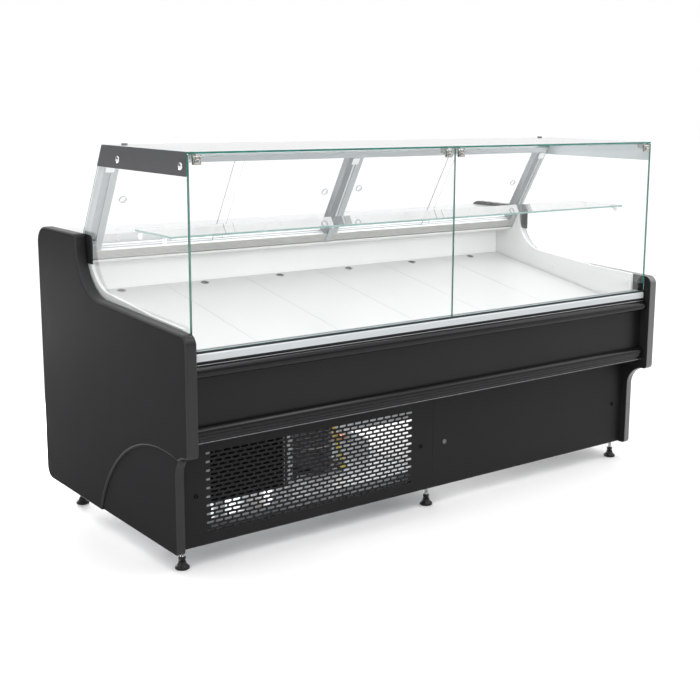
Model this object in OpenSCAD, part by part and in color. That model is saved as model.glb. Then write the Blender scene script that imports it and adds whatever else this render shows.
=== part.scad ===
// Refrigerated deli case: a serve-over counter with a raised glass display, a sloping deck,
// sliding doors on the staff side and a condensing unit in the plinth.
// X runs along the counter, the customer side faces -Y, and Z = 0 is the floor.

/* [Overall size] */
// Length over the two end panels
case_l = 2000; // [1800:10:2300]
// Depth from the front edge to the rear edge of the end panels
case_d = 1035; // [1020:5:1080]
// Height of the canopy glass above the floor
glass_top = 1238; // [1220:2:1260]

/* [End panels] */
// Thickness of a moulded end panel
panel_t = 36; // [32:1:44]
// Height of the panels' rear shoulder
shoulder_z = 950; // [940:2:970]
// Gap between the panels and the floor
panel_gap = 64; // [50:1:80]
// Depth of the recessed field under the arch
arch_recess = 8; // [4:1:12]

/* [Display] */
// Thickness of the canopy glass
glass_t = 6; // [5:1:8]
// Height of the shelf's top face
shelf_z = 995; // [960:5:1030]
// Thickness of the shelf glass
shelf_t = 6; // [5:1:10]
// Number of deck plates
deck_count = 6; // [6:1:6]
// Number of front intake rows in the plinth grille
vent_rows = 8; // [6:1:12]

/* [Service side] */
// Height of the worktop
worktop_z = 935; // [930:1:940]
// Width of one sliding door
door_w = 465; // [455:1:470]

/* [Feet] */
// Diameter of a foot's pad
foot_d = 44; // [36:1:50]
// Diameter of a foot's threaded stem
stem_d = 12; // [10:1:14]

/* [Hidden] */

$fn = 48;

charcoal = "#2b2c2f";
satin_black = "#1c1d1f";
dark_grey = "#4a4b4e";
white = "#f2f2f0";
light_grey = "#c9ccce";
clear = [0.75, 0.9, 0.87, 0.35];
alu = "#b4b8bb";
steel = "#8f9396";
chrome = "#d8dadc";
copper = "#b87345";
foam_white = "#e6e6e2";

half_l = case_l / 2;
panel_in = half_l - panel_t;
side_glass_x = panel_in - 1 - glass_t;
liner_t = 10;
liner_out = side_glass_x - 1;
liner_in = liner_out - liner_t;

// Section heights and depths, measured from the front edge and the floor
pane_y = 31;
pane_back = pane_y + glass_t;
pane_low = 681;
pane_high = glass_top - 7.5;
top_glass_low = glass_top - glass_t;
sill_y = 84;
sill_z = 650;
front_panel_y = 42;
bumper_high = [603, 643];
bumper_low = [413, 461];
kick_y = 119;
kick_z = [panel_gap + 5, 413];
tub_low = 420;
tub_back = 905;
cavity = [82, 840];
cavity_low = 478;
ledge_z = [850, 858];
ledge_y = 747;
rear_panel_y = 1010;

// The staff side leans: its plane passes through this point and tilts by this angle
lean_y = 572;
lean = 30;
pillar_deep = 36;
rail_s = [14, 50];
track_s = [380, 412];
end_pillar_w = 41;
centre_pillar_w = 52;
end_pillar_in = liner_out - 1 - end_pillar_w;
door_t = 5;
door_s = [32, 394];
door_n = [-24, -12];
pull_s = 200;
pull_r = 9.5;
bay_mid = (end_pillar_in + centre_pillar_w / 2) / 2;

// Sloping deck
deck_z0 = 600;
deck_rise = 0.172;
deck_slope = atan(deck_rise);
deck_half = liner_in - 3.8;
deck_pitch = (2 * deck_half) / deck_count;
deck_gap = 1.5;
deck_y = [86.5, 832];
deck_hole_y = 806;
deck_sheet = 2;
deck_flange = 16;

// Swinging front panes: a pin through the plane of each pane, near its top edge
pin_y = pane_y + glass_t / 2;
pin_z = pane_high - 8.5;
pin_r = 2.5;
ear_r = 6;
clamp_w = 26;
hinge_in = 26;
hinge_out = side_glass_x - 22;

foot_xs = [-946, 0, 946];
foot_y_front = 150;
foot_y_rear = 865;
rail_t = 40;
rail_wall = 3;
rail_z = panel_gap + 5;

fan_x = -720;
fan_z = 278;

module from_front() {
    translate([0, -case_d / 2, 0]) children();
}

// Extrudes a (y, z) outline along X
module along_x(x0, len) {
    translate([x0, 0, 0]) rotate([90, 0, 90]) linear_extrude(len) children();
}

module box(x, y, z) {
    translate([x[0], y[0], z[0]]) cube([x[1] - x[0], y[1] - y[0], z[1] - z[0]]);
}

module rod_x(x0, len, y, z, r) {
    translate([x0, y, z]) rotate([0, 90, 0]) cylinder(h = len, r = r);
}

module rod_y(x, y0, len, z, r) {
    translate([x, y0, z]) rotate([-90, 0, 0]) cylinder(h = len, r = r);
}

// The frame of the leaning staff side: local Y points out of it and local Z up along it
module on_lean() {
    translate([0, lean_y, glass_top]) rotate([lean, 0, 0]) children();
}

// What a square corner loses when it is rounded: the corner is at the origin, the body at +X +Y
module corner(r) {
    difference() {
        translate([-1, -1]) square(r + 1);
        translate([r, r]) circle(r);
    }
}

// ---- End panels ----
bend_r = 164;
bend_y = 557;
bend_z = 925;
head_low = 378;
foot_y = 91;

module end_outline() {
    difference() {
        union() {
            polygon([[0, head_low], [0, 735], [bend_y, bend_z - bend_r], [bend_y + bend_r, bend_z - bend_r],
                [bend_y + bend_r, shoulder_z], [case_d, shoulder_z], [case_d, panel_gap],
                [foot_y, panel_gap], [foot_y, head_low]]);
            difference() {
                translate([bend_y, bend_z - bend_r - 1]) square([bend_r + 1, bend_r + 1]);
                translate([bend_y, bend_z]) circle(bend_r);
            }
            difference() {
                translate([foot_y - 75, head_low - 75]) square([76, 76]);
                translate([foot_y - 75, head_low - 75]) circle(75);
            }
        }
        translate([0, head_low]) corner(16);
        translate([0, 735]) mirror([0, 1]) corner(30);
        translate([bend_y + bend_r, shoulder_z]) mirror([0, 1]) corner(14);
        translate([case_d, shoulder_z]) rotate(180) corner(58);
        translate([case_d, panel_gap]) mirror([1, 0]) corner(40);
        translate([foot_y, panel_gap]) corner(14);
    }
}

module arch_field() {
    difference() {
        intersection() {
            translate([165, -85]) circle(458);
            square([700, 368]);
        }
        translate([0, head_low - 46]) square([foot_y - 12, 60]);
    }
}

module right_end() {
    difference() {
        along_x(panel_in, panel_t) end_outline();
        along_x(half_l - arch_recess, arch_recess + 1) arch_field();
    }
    // inner pad that the tub is screwed to
    along_x(liner_out, panel_in - liner_out) translate([100, 440]) square([720, 150]);
}

module left_end_panel() {
    color(charcoal) from_front() mirror([1, 0, 0]) right_end();
}

module right_end_panel() {
    color(charcoal) from_front() right_end();
}

// White lining of the display's end, below the side glass
module liner_shape() {
    lip = 12;
    intersection() {
        union() {
            end_outline();
            // the lip that stands in front of the end panel's bend
            polygon([[300, 745], [300, 750], [bend_y, bend_z - bend_r + lip], [bend_y, bend_z - bend_r - 4]]);
            difference() {
                translate([bend_y - 0.5, bend_z - bend_r - 4]) square([bend_r + 1, bend_r + 20]);
                translate([bend_y, bend_z]) circle(bend_r - lip);
                translate([bend_y - 1, bend_z]) square([bend_r - lip + 1, 50]);
            }
        }
        polygon([[cavity[0] + 2, cavity_low + 2], [cavity[0] + 2, 760], [560, 800], [bend_y + bend_r + 1, 960],
            [683, 960], [748, ledge_z[0] - 2], [cavity[1] - 2, ledge_z[0] - 2], [cavity[1] - 2, cavity_low + 2]]);
    }
}

module right_liner() {
    along_x(liner_in, liner_t) difference() {
        liner_shape();
        on_lean_2d() translate([-pillar_deep - 2.5, -414]) square([200, 414]);
    }
    // screw caps
    for (p = [[111, 708], [504, 722]]) rod_x(liner_in - 3, 3, p[0], p[1], 10);
}

module on_lean_2d() {
    translate([lean_y, glass_top]) rotate(lean) children();
}

module left_end_liner() {
    color(white) from_front() mirror([1, 0, 0]) right_liner();
}

module right_end_liner() {
    color(white) from_front() right_liner();
}

// ---- Base frame ----
// The outside (inset 0) or the inside (inset = wall) of every square tube
module frame_tubes(inset) {
    front = [foot_y_front - rail_t / 2 + inset, foot_y_front + rail_t / 2 - inset];
    rear = [foot_y_rear - rail_t / 2 + inset, foot_y_rear + rail_t / 2 - inset];
    z = [rail_z + inset, rail_z + rail_t - inset];
    open_end = inset > 0 ? 1 : 0;
    for (y = [front, rear]) box([-panel_in - open_end, panel_in + open_end], y, z);
    for (x0 = [-panel_in, -rail_t / 2, panel_in - rail_t]) {
        x = [x0 + inset, x0 + rail_t - inset];
        post_z = [rail_z + inset, tub_low + open_end];
        box(x, [front[0], rear[1]], z);
        box(x, front, post_z);
        box(x, [tub_back - 60 + inset, tub_back - 20 - inset], post_z);
    }
}

module base_frame() {
    color(steel) from_front() difference() {
        frame_tubes(0);
        frame_tubes(rail_wall);
        for (x = foot_xs, y = [foot_y_front, foot_y_rear])
            translate([x, y, rail_z - 1]) cylinder(h = rail_wall + 2, d = stem_d + 0.16);
    }
}

// ---- Insulated body ----
drain_at = [-80, 560];

// Where the liquid and the suction pipe go up to the evaporator: [x, y, radius]
risers = [[-455, 600, 5], [-140, 600, 7]];

module pipe_holes() {
    for (p = risers) translate([p[0], p[1], tub_low - 1]) cylinder(h = 80, r = p[2] + 1);
}

module insulated_tub() {
    color(foam_white) from_front() difference() {
        along_x(-liner_out, 2 * liner_out)
            polygon([[46, tub_low], [46, sill_z - 10], [cavity[0], sill_z - 10], [cavity[0], cavity_low],
                [cavity[1], cavity_low], [cavity[1], ledge_z[0]], [ledge_y, ledge_z[0]], [ledge_y, ledge_z[1]],
                [tub_back, ledge_z[1]], [tub_back, tub_low]]);
        translate([drain_at[0], drain_at[1], tub_low - 1]) cylinder(h = 80, r = 15.5);
        pipe_holes();
    }
}

// Sheet lining of the tub with the two ledges that carry the deck plates
module inner_tank() {
    t = 2;
    front = [cavity[0] + 0.2, cavity[0] + 0.2 + t];
    back = [cavity[1] - 0.2 - t, cavity[1] - 0.2];
    floor_z = [cavity_low + 0.2, cavity_low + 0.2 + t];
    rear_rest = deck_top(back[0] - 22) - deck_flange / cos(deck_slope) - 0.3;
    color(white) from_front() difference() {
        along_x(-liner_in, 2 * liner_in)
            polygon([[front[0], floor_z[0]], [front[0], sill_z - 10], [front[1], sill_z - 10],
                [front[1], deck_rest(deck_y[0])], [front[1] + 22, deck_rest(deck_y[0])],
                [front[1] + 22, deck_rest(deck_y[0]) - 3], [front[1], deck_rest(deck_y[0]) - 3],
                [front[1], floor_z[1]], [back[0], floor_z[1]],
                [back[0], rear_rest - 3], [back[0] - 22, rear_rest - 3],
                [back[0] - 22, rear_rest], [back[0], rear_rest],
                [back[0], ledge_z[0] - 0.5], [back[1], ledge_z[0] - 0.5], [back[1], floor_z[0]]]);
        translate([drain_at[0], drain_at[1], tub_low - 1]) cylinder(h = 80, r = 13);
        pipe_holes();
    }
}

// Height of the ledge just under the plates' folded edges at a depth y
function deck_rest(y) = deck_top(y) - deck_flange * cos(deck_slope) - 0.3;

// Height of the plates' top face at a depth y
function deck_top(y) = deck_z0 + deck_rise * y;

// ---- Front ----
module glass_sill() {
    color(light_grey) from_front() along_x(-side_glass_x + 1, 2 * side_glass_x - 2)
        polygon([[26, sill_z], [26, 672], [32, 678], [62, 678], [sill_y, 668], [sill_y, 640],
            [48, 640], [48, sill_z]]);
}

// Keeps what lies in front of the front panel
module ahead_of_panel() {
    intersection() {
        children();
        square([front_panel_y, 1000]);
    }
}

module bumper_outline(z, nose) {
    r = (z[1] - z[0]) / 2;
    ahead_of_panel() translate([nose + r, z[0] + r]) circle(r);
    translate([nose + r, z[0]]) square([front_panel_y - nose - r, 2 * r]);
}

module upper_bumper() {
    color(satin_black) from_front() along_x(-panel_in + 1, 2 * panel_in - 2)
        bumper_outline(bumper_high, 12);
}

module front_panel() {
    color(charcoal) from_front() along_x(-panel_in + 1, 2 * panel_in - 2)
        polygon([[front_panel_y, bumper_low[0] + 8], [front_panel_y, bumper_high[1] - 4],
            [front_panel_y + 3, bumper_high[1] - 4], [front_panel_y + 3, bumper_low[0] + 8]]);
}

module lower_bumper() {
    low = bumper_low[0];
    color(satin_black) from_front() along_x(-panel_in + 1, 2 * panel_in - 2) {
        ahead_of_panel() translate([36, low + 30]) circle(18);
        translate([30, low + 4]) square([front_panel_y - 30, 44]);
        translate([24, low]) square([front_panel_y - 24, 10]);
        translate([front_panel_y, low]) square([kick_y - front_panel_y, 2]);
    }
}

module kick_plate(x) {
    box(x, [kick_y, kick_y + 1.5], kick_z);
    box(x, [kick_y + 1.5, kick_y + 10], [kick_z[0], kick_z[0] + 1.5]);
}

vent_x = [-880, -92];
vent_z = [104, 358];
vent_cols = 12;

module kick_panel_vented() {
    pitch_x = (vent_x[1] - vent_x[0]) / vent_cols;
    pitch_z = (vent_z[1] - vent_z[0]) / vent_rows;
    color(charcoal) from_front() {
        translate([0, kick_y + 1.5, 0]) rotate([90, 0, 0]) linear_extrude(1.5) difference() {
            translate([1 - panel_in, kick_z[0]]) square([panel_in - 1.5, kick_z[1] - kick_z[0]]);
            for (x = [-911, -52]) translate([x, 225]) circle(4.5);
            for (row = [0:vent_rows - 1], col = [0:vent_cols - 1])
                translate([vent_x[0] + (col + (row % 2 == 0 ? 0.05 : 0.35)) * pitch_x,
                    vent_z[0] + (row + 0.25) * pitch_z]) square([pitch_x * 0.6, pitch_z * 0.5]);
        }
        box([1 - panel_in, -0.5], [kick_y + 1.5, kick_y + 10], [kick_z[0], kick_z[0] + 1.5]);
    }
}

module kick_panel_plain() {
    color(charcoal) from_front() difference() {
        kick_plate([0.5, panel_in - 1]);
        for (x = [52, 911]) rod_y(x, kick_y - 1, 4, 225, 4.5);
    }
}

module kick_panel_screws() {
    color(satin_black) from_front() for (x = [-911, -52, 911]) {
        rod_y(x, kick_y - 2.5, 2.5, 225, 7);
        rod_y(x, kick_y, 14, 225, 4);
    }
    color(steel) from_front() {
        rod_y(52, kick_y - 3, 3, 225, 8);
        rod_y(52, kick_y, 8, 225, 4);
    }
}

// ---- Feet ----
module foot(x, y) {
    translate([x, y, 0]) {
        cylinder(h = 8, d = foot_d);
        translate([0, 0, 8]) cylinder(h = 16, d1 = foot_d, d2 = stem_d + 10);
        translate([0, 0, 24]) cylinder(h = 60, d = stem_d);
    }
    translate([x, y, 28]) cylinder(h = 9, d = stem_d + 11, $fn = 6);
}

module front_feet() {
    color(satin_black) from_front() for (x = foot_xs) foot(x, foot_y_front);
}

module rear_feet() {
    color(satin_black) from_front() for (x = foot_xs) foot(x, foot_y_rear);
}

// ---- Canopy glass ----
function lean_at(z) = lean_y + (glass_top - z) * tan(lean);

module right_side_pane() {
    top = top_glass_low - 0.3;
    along_x(side_glass_x, glass_t)
        polygon([[pane_back + 1, 705], [pane_back + 1, pin_z - 12], [pane_back + 8, pin_z - 10],
            [pane_back + 8, top], [lean_at(top), top], [lean_at(905), 905],
            [726, 875], [700, 815], [640, 760], [555, 735]]);
}

module left_side_glass() {
    color(clear) from_front() mirror([1, 0, 0]) right_side_pane();
}

module right_side_glass() {
    color(clear) from_front() right_side_pane();
}

module top_glass() {
    edge = side_glass_x + glass_t;
    color(clear) from_front() box([-edge, edge], [pane_y, lean_y + 3], [top_glass_low, glass_top]);
}

module right_pane() {
    edge = side_glass_x + glass_t - 1;
    difference() {
        box([1.5, edge], [pane_y, pane_back], [pane_low, pane_high]);
        for (x = [hinge_in, hinge_out])
            box([x - clamp_w / 2, x + clamp_w / 2], [pane_y - 1, pane_back + 1], [pin_z - 10, pane_high + 1]);
    }
}

module left_front_glass() {
    color(clear) from_front() mirror([1, 0, 0]) right_pane();
}

module right_front_glass() {
    color(clear) from_front() right_pane();
}

// One clamp: two plates on the glass, two ears in its notch and the pin between them
module glass_clamp(x) {
    low = pin_z - 20;
    half_w = clamp_w / 2 - 0.5;
    for (y = [pane_y - 3.5, pane_back]) box([x - half_w, x + half_w], [y, y + 3.5], [low, pin_z - 10]);
    for (side = [-1, 1]) {
        ear = [min(side * half_w, side * 6.5) + x, max(side * half_w, side * 6.5) + x];
        box(ear, [pin_y - ear_r, pin_y + ear_r], [pin_z - 10, pin_z]);
        rod_x(ear[0], 6, pin_y, pin_z, ear_r);
    }
    rod_x(x - half_w, 2 * half_w, pin_y, pin_z, pin_r);
    rod_y(x, pane_y - 6.5, 3, pin_z - 11, 8);
}

module right_clamps() {
    for (x = [hinge_in, hinge_out]) glass_clamp(x);
}

module left_glass_clamps() {
    color(chrome) from_front() mirror([1, 0, 0]) right_clamps();
}

module right_glass_clamps() {
    color(chrome) from_front() right_clamps();
}

// Fixed knuckles that hang the panes from the canopy glass
module hinge_blocks() {
    color(chrome) from_front() for (x = [-hinge_out, -hinge_in, hinge_in, hinge_out]) difference() {
        union() {
            rod_x(x - 5, 10, pin_y, pin_z, ear_r);
            box([x - 5, x + 5], [pin_y, 46], [pin_z - 1, pin_z + 5]);
            box([x - 5, x + 5], [44, 72], [pin_z - 8, top_glass_low]);
        }
        rod_x(x - 6, 12, pin_y, pin_z, pin_r + 0.06);
    }
}

plate_low = 1170;

module canopy_end_plates() {
    high = glass_top - 1;
    outline = [[pane_back + 1, plate_low], [pane_back + 1, high], [lean_at(high), high],
        [lean_at(plate_low), plate_low]];
    color(dark_grey) from_front() for (side = [0, 1]) mirror([side, 0, 0])
        along_x(side_glass_x + glass_t + 0.1, 2) polygon(outline);
}

module canopy_bolt_caps() {
    outer = side_glass_x + glass_t + 2.1;
    color(chrome) from_front() {
        for (side = [0, 1], y = [62, 453]) mirror([side, 0, 0]) rod_x(outer, 8, y, 1198, 11);
        for (x = [-900, 900]) translate([x, 548, glass_top]) cylinder(h = 4, r = 10);
    }
}

// ---- Leaning staff side ----
module pillar(x0, w, left_lip, right_lip) {
    on_lean() difference() {
        union() {
            box([x0, x0 + w], [-pillar_deep, 0], [-track_s[0], -rail_s[1]]);
            // front strip that laps over the edges of the doors
            box([x0 - left_lip, x0 + w + right_lip], [-pillar_deep - 2, -pillar_deep], [-track_s[0], -rail_s[1]]);
        }
        box([x0 + w / 2 - 6, x0 + w / 2 + 6], [-pillar_deep - 3, -pillar_deep + 5], [-track_s[0] - 1, 0]);
    }
    // foot that laps over the door track
    on_lean() box([x0 + w / 2 - 13, x0 + w / 2 + 13], [-pillar_deep - 5, -pillar_deep - 2.2],
        [-track_s[1], -track_s[0] + 40]);
    on_lean() box([x0 + w / 2 - 13, x0 + w / 2 + 13], [-pillar_deep - 3, -pillar_deep + 1],
        [-track_s[0] + 4, -track_s[0] + 40]);
}

module canopy_pillars() {
    color(alu) from_front() {
        pillar(end_pillar_in, end_pillar_w, 9, 0);
        mirror([1, 0, 0]) pillar(end_pillar_in, end_pillar_w, 9, 0);
        pillar(-centre_pillar_w / 2, centre_pillar_w, 5, 5);
    }
}

module door_slots(s) {
    for (n = door_n) box([-liner_out, liner_out], [n - door_t / 2 - 0.6, n + door_t / 2 + 0.6], s);
}

module upper_door_rail() {
    color(alu) from_front() {
        on_lean() difference() {
            box([-liner_out + 1, liner_out - 1], [-pillar_deep - 2, 0], [-rail_s[1], -rail_s[0]]);
            door_slots([-rail_s[1] - 1, -rail_s[0] - 14]);
        }
        box([-liner_out + 1, liner_out - 1], [544, lean_y + 2], [1206, top_glass_low]);
    }
}

module lower_door_track() {
    color(alu) from_front() on_lean() difference() {
        box([-liner_out + 1, liner_out - 1], [-pillar_deep - 2, 0], [-track_s[1], -track_s[0]]);
        door_slots([-door_s[1] - 0.4, -track_s[0] + 1]);
        for (rib = [1:4])
            box([-liner_out, liner_out], [-pillar_deep - 3, -pillar_deep - 0.6],
                [-track_s[1] + rib * 6.4 - 1.2, -track_s[1] + rib * 6.4 + 1.2]);
    }
}

// Covers that clip over the side glass outside each end of the track
module cover_outline(back) {
    difference() {
        translate([668, 856]) square([back - 668, 93]);
        translate([668, 949]) mirror([0, 1]) corner(22);
    }
}

module track_end_caps() {
    outside = side_glass_x + glass_t + 0.15;
    color(satin_black) from_front() for (side = [0, 1]) mirror([side, 0, 0]) {
        along_x(outside, 2.6) cover_outline(703);
        along_x(outside, 0.7) cover_outline(738);
    }
}

module sliding_door(x0, n, hole_x) {
    color(clear) from_front() on_lean() difference() {
        box([x0, x0 + door_w], [n - door_t / 2, n + door_t / 2], [-door_s[1], -door_s[0]]);
        rod_y(hole_x, n - door_t, 2 * door_t, -pull_s, pull_r + 2.5);
    }
    color(light_grey) from_front() on_lean() difference() {
        rod_y(hole_x, n - door_t / 2 - 0.5, door_t + 1, -pull_s, pull_r + 2.5);
        rod_y(hole_x, n - door_t, 2 * door_t, -pull_s, pull_r);
    }
}

bay_in = centre_pillar_w / 2 + 1;
bay_out = end_pillar_in - 1;

module sliding_door_1() {
    sliding_door(-bay_out, door_n[1], -bay_out + 59);
}

module sliding_door_2() {
    sliding_door(-bay_in - door_w, door_n[0], -bay_in - 53);
}

module sliding_door_3() {
    sliding_door(bay_in, door_n[1], bay_in + 53);
}

module sliding_door_4() {
    sliding_door(bay_out - door_w, door_n[0], bay_out - 59);
}

// ---- Shelf and light ----
shelf_y = [150, 380];

module glass_shelf() {
    color(clear) from_front() box([-side_glass_x + 4, side_glass_x - 4], shelf_y, [shelf_z - shelf_t, shelf_z]);
}

module shelf_supports() {
    pin_top = shelf_z - shelf_t;
    color(chrome) from_front() for (side = [0, 1], y = [185, 340]) mirror([side, 0, 0]) {
        rod_x(side_glass_x - 6, 6, y, pin_top - 11, 10);
        rod_x(side_glass_x - 24, 19, y, pin_top - 4.5, 4.5);
    }
}

module canopy_light() {
    color(white) from_front() {
        box([-880, 880], [512, 543], [1216, top_glass_low]);
        rod_x(-870, 1740, 527, 1211, 8);
    }
}

// ---- Service side ----
module worktop() {
    y = [793, case_d - 4];
    color(alu) from_front() {
        box([-panel_in + 1, panel_in - 1], y, [worktop_z - 3, worktop_z]);
        box([-panel_in + 1, panel_in - 1], [y[0], y[0] + 2], [ledge_z[1], worktop_z - 3]);
        box([-panel_in + 1, panel_in - 1], [y[1] - 2, y[1]], [worktop_z - 40, worktop_z - 3]);
    }
}

switch_z = 800;

module rear_panel() {
    color(light_grey) from_front() difference() {
        union() {
            box([-panel_in + 1, panel_in - 1], [rear_panel_y, rear_panel_y + 2], [tub_low, worktop_z - 4]);
            box([-panel_in + 1, panel_in - 1], [rear_panel_y - 20, rear_panel_y], [tub_low, tub_low + 2]);
        }
        box([-96, 96], [rear_panel_y - 1, rear_panel_y + 3], [switch_z - 36, switch_z + 36]);
        rod_y(820, rear_panel_y - 1, 4, 470, 10);
    }
}

module control_panel() {
    color(satin_black) from_front() difference() {
        union() {
            box([-110, 110], [rear_panel_y + 2, rear_panel_y + 8], [switch_z - 46, switch_z + 46]);
            box([-92, 92], [rear_panel_y - 40, rear_panel_y + 2], [switch_z - 33, switch_z + 33]);
        }
        for (x = [30, 70]) box([x - 10.2, x + 10.2], [rear_panel_y - 12, rear_panel_y + 9], [switch_z - 15.2, switch_z + 15.2]);
        rod_y(-45, rear_panel_y - 12, 22, switch_z, 4.05);
    }
}

module thermostat_dial() {
    color(light_grey) from_front() {
        rod_y(-45, rear_panel_y + 8.5, 14, switch_z, 19);
        rod_y(-45, rear_panel_y - 8, 17, switch_z, 4);
        box([-46.5, -43.5], [rear_panel_y + 22, rear_panel_y + 24], [switch_z, switch_z + 17]);
    }
}

// A rocker that pivots on the switch housing, shown tipped to "off"
module rocker(x) {
    translate([x, rear_panel_y + 3, switch_z]) rotate([7, 0, 0]) {
        translate([-9.5, -7, -14]) cube([19, 12, 28]);
        rod_x(-9.9, 19.8, 0, 0, 2.5);
    }
}

module power_switch() {
    color(satin_black) from_front() rocker(30);
}

module light_switch() {
    color(satin_black) from_front() rocker(70);
}

module cable_gland() {
    color(satin_black) from_front() difference() {
        union() {
            rod_y(820, rear_panel_y - 8, 22, 470, 9.9);
            rod_y(820, rear_panel_y + 2, 6, 470, 14);
            rod_y(820, rear_panel_y - 6, 6, 470, 13);
        }
        rod_y(820, rear_panel_y - 9, 24, 470, 5);
    }
}

// ---- Deck ----
module deck_plate(i) {
    x0 = -deck_half + i * deck_pitch + deck_gap / 2;
    w = deck_pitch - deck_gap;
    len = (deck_y[1] - deck_y[0]) / cos(deck_slope);
    hole = (deck_hole_y - deck_y[0]) / cos(deck_slope);
    color(white) from_front() translate([x0, deck_y[0], deck_top(deck_y[0])]) rotate([deck_slope, 0, 0]) {
        difference() {
            translate([0, 0, -deck_sheet]) cube([w, len, deck_sheet]);
            translate([w / 2 - 16, hole, -deck_sheet - 1]) cylinder(h = deck_sheet + 2, r = 13);
        }
        for (y = [0, len - deck_sheet]) translate([0, y, -deck_flange]) cube([w, deck_sheet, deck_flange - deck_sheet]);
        for (x = [0, w - deck_sheet])
            translate([x, deck_sheet, -deck_flange]) cube([deck_sheet, len - 2 * deck_sheet, deck_flange - deck_sheet]);
    }
    color(steel) from_front() translate([x0, deck_y[0], deck_top(deck_y[0])]) rotate([deck_slope, 0, 0])
        translate([w / 2 - 16, hole, -deck_sheet]) difference() {
            cylinder(h = deck_sheet, r = 13);
            translate([0, 0, -1]) cylinder(h = deck_sheet + 2, r = 10.5);
        }
}

module deck_plate_1() { deck_plate(0); }
module deck_plate_2() { deck_plate(1); }
module deck_plate_3() { deck_plate(2); }
module deck_plate_4() { deck_plate(3); }
module deck_plate_5() { deck_plate(4); }
module deck_plate_6() { deck_plate(5); }

// ---- Refrigeration ----
// Cooling fins on a sheet, with the tubes' return bends standing out of the end fins
module evaporator() {
    x = [-820, 780];
    y = [560, 780];
    z = [500, 590];
    fins = 24;
    color(alu) from_front() {
        box(x, y, [z[0] + 44, z[0] + 45.2]);
        for (i = [0:fins]) translate([x[0] + i * (x[1] - x[0] - 1.2) / fins, y[0], z[0]]) cube([1.2, y[1] - y[0], z[1] - z[0]]);
    }
    color(copper) from_front() for (end = [x[0] - 12, x[1]], row = [0, 1], col = [0:3])
        rod_x(end, 12, y[0] + 35 + col * 50, z[0] + 24 + row * 42, 6);
}

// Drain pipe over a drip tray that stands on the machine tray
module drain() {
    floor_z = tray_z + 3;
    color(satin_black) from_front() {
        difference() {
            translate([drain_at[0], drain_at[1], 250]) cylinder(h = cavity_low - 250, r = 15);
            translate([drain_at[0], drain_at[1], 249]) cylinder(h = cavity_low - 248, r = 12);
        }
        difference() {
            box([-130, -30], [440, 630], [floor_z, floor_z + 60]);
            box([-127, -33], [443, 627], [floor_z + 3, floor_z + 61]);
        }
    }
}

// The tray bridges the frame's left and middle cross tubes
tray_z = rail_z + rail_t;
tray_x = [-945, -2];
tray_y = [160, 640];

module machine_tray() {
    // The front corners are notched around the frame's posts
    notch = 12;
    between_posts = [-922, -22];
    color(steel) from_front() {
        box(tray_x, [tray_y[0] + notch, tray_y[1]], [tray_z, tray_z + 3]);
        box(between_posts, [tray_y[0], tray_y[0] + notch], [tray_z, tray_z + 3]);
        box(between_posts, [tray_y[0], tray_y[0] + 3], [tray_z + 3, tray_z + 22]);
        box(tray_x, [tray_y[1] - 3, tray_y[1]], [tray_z + 3, tray_z + 22]);
    }
}

module compressor() {
    base = tray_z + 3;
    at = [-313, 430];
    color(satin_black) from_front() translate([at[0], at[1], base]) {
        translate([0, 0, 22]) cylinder(h = 120, r = 92);
        translate([0, 0, 142]) intersection() {
            sphere(92);
            cylinder(h = 62, r = 93);
        }
        box([-115, 115], [-85, 85], [16, 22]);
        for (x = [-98, 98], y = [-68, 68]) translate([x, y, 0]) cylinder(h = 16, r = 13);
        // terminal box on the staff side
        box([-35, 35], [75, 110], [60, 130]);
    }
}

// A finned pack between two side plates that stand on the tray, with the return bends outside them
condenser_x = [-868, -572];
condenser_y = [165, 237];
condenser_z = [176, 380];

module condenser() {
    x = condenser_x;
    y = condenser_y;
    z = condenser_z;
    color(satin_black) from_front() {
        for (end = [x[0], x[1] - 2]) box([end, end + 2], y, [tray_z + 3, z[1]]);
        box([x[0] + 2, x[1] - 2], [y[0] + 35, y[0] + 37], z);
        for (i = [1:19]) translate([x[0] + i * 14.7, y[0] + 6, z[0]]) cube([1.2, 60, z[1] - z[0]]);
    }
    color(copper) from_front() for (end = [x[0] - 10, x[1]], row = [0:3], bend_at = [y[0] + 18, y[0] + 54])
        rod_x(end, 10, bend_at, z[0] + 28 + row * 49, 4.8);
}

fan_r = 92;

module fan_shroud() {
    y = condenser_y[1];
    color(satin_black) from_front() {
        difference() {
            box(condenser_x, [y, y + 14], condenser_z);
            rod_y(fan_x, y - 6, 40, fan_z, fan_r + 4);
        }
        difference() {
            rod_y(fan_x, y + 14, 34, fan_z, fan_r + 8);
            rod_y(fan_x, y + 13, 36, fan_z, fan_r + 4);
        }
        // motor on its bracket
        difference() {
            rod_y(fan_x, y + 60, 52, fan_z, 34);
            rod_y(fan_x, y + 59, 12, fan_z, 5.06);
        }
        box([fan_x - 12, fan_x + 12], [y + 66, y + 104], [tray_z + 3, fan_z - 30]);
    }
}

module condenser_fan() {
    y = condenser_y[1];
    color(alu) from_front() {
        rod_y(fan_x, y + 22, 30, fan_z, 24);
        rod_y(fan_x, y + 52, 16, fan_z, 5);
        for (blade = [0:4]) translate([fan_x, y + 37, fan_z]) rotate([0, blade * 72, 0])
            translate([54, 0, 0]) rotate([28, 0, 0]) cube([68, 2.5, 42], center = true);
    }
}

receiver_at = [-480, 520];

module receiver() {
    color(satin_black) from_front() translate([receiver_at[0], receiver_at[1], tray_z + 3]) {
        cylinder(h = 210, r = 42);
        translate([0, 0, 210]) cylinder(h = 14, r1 = 42, r2 = 20);
    }
}

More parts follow.
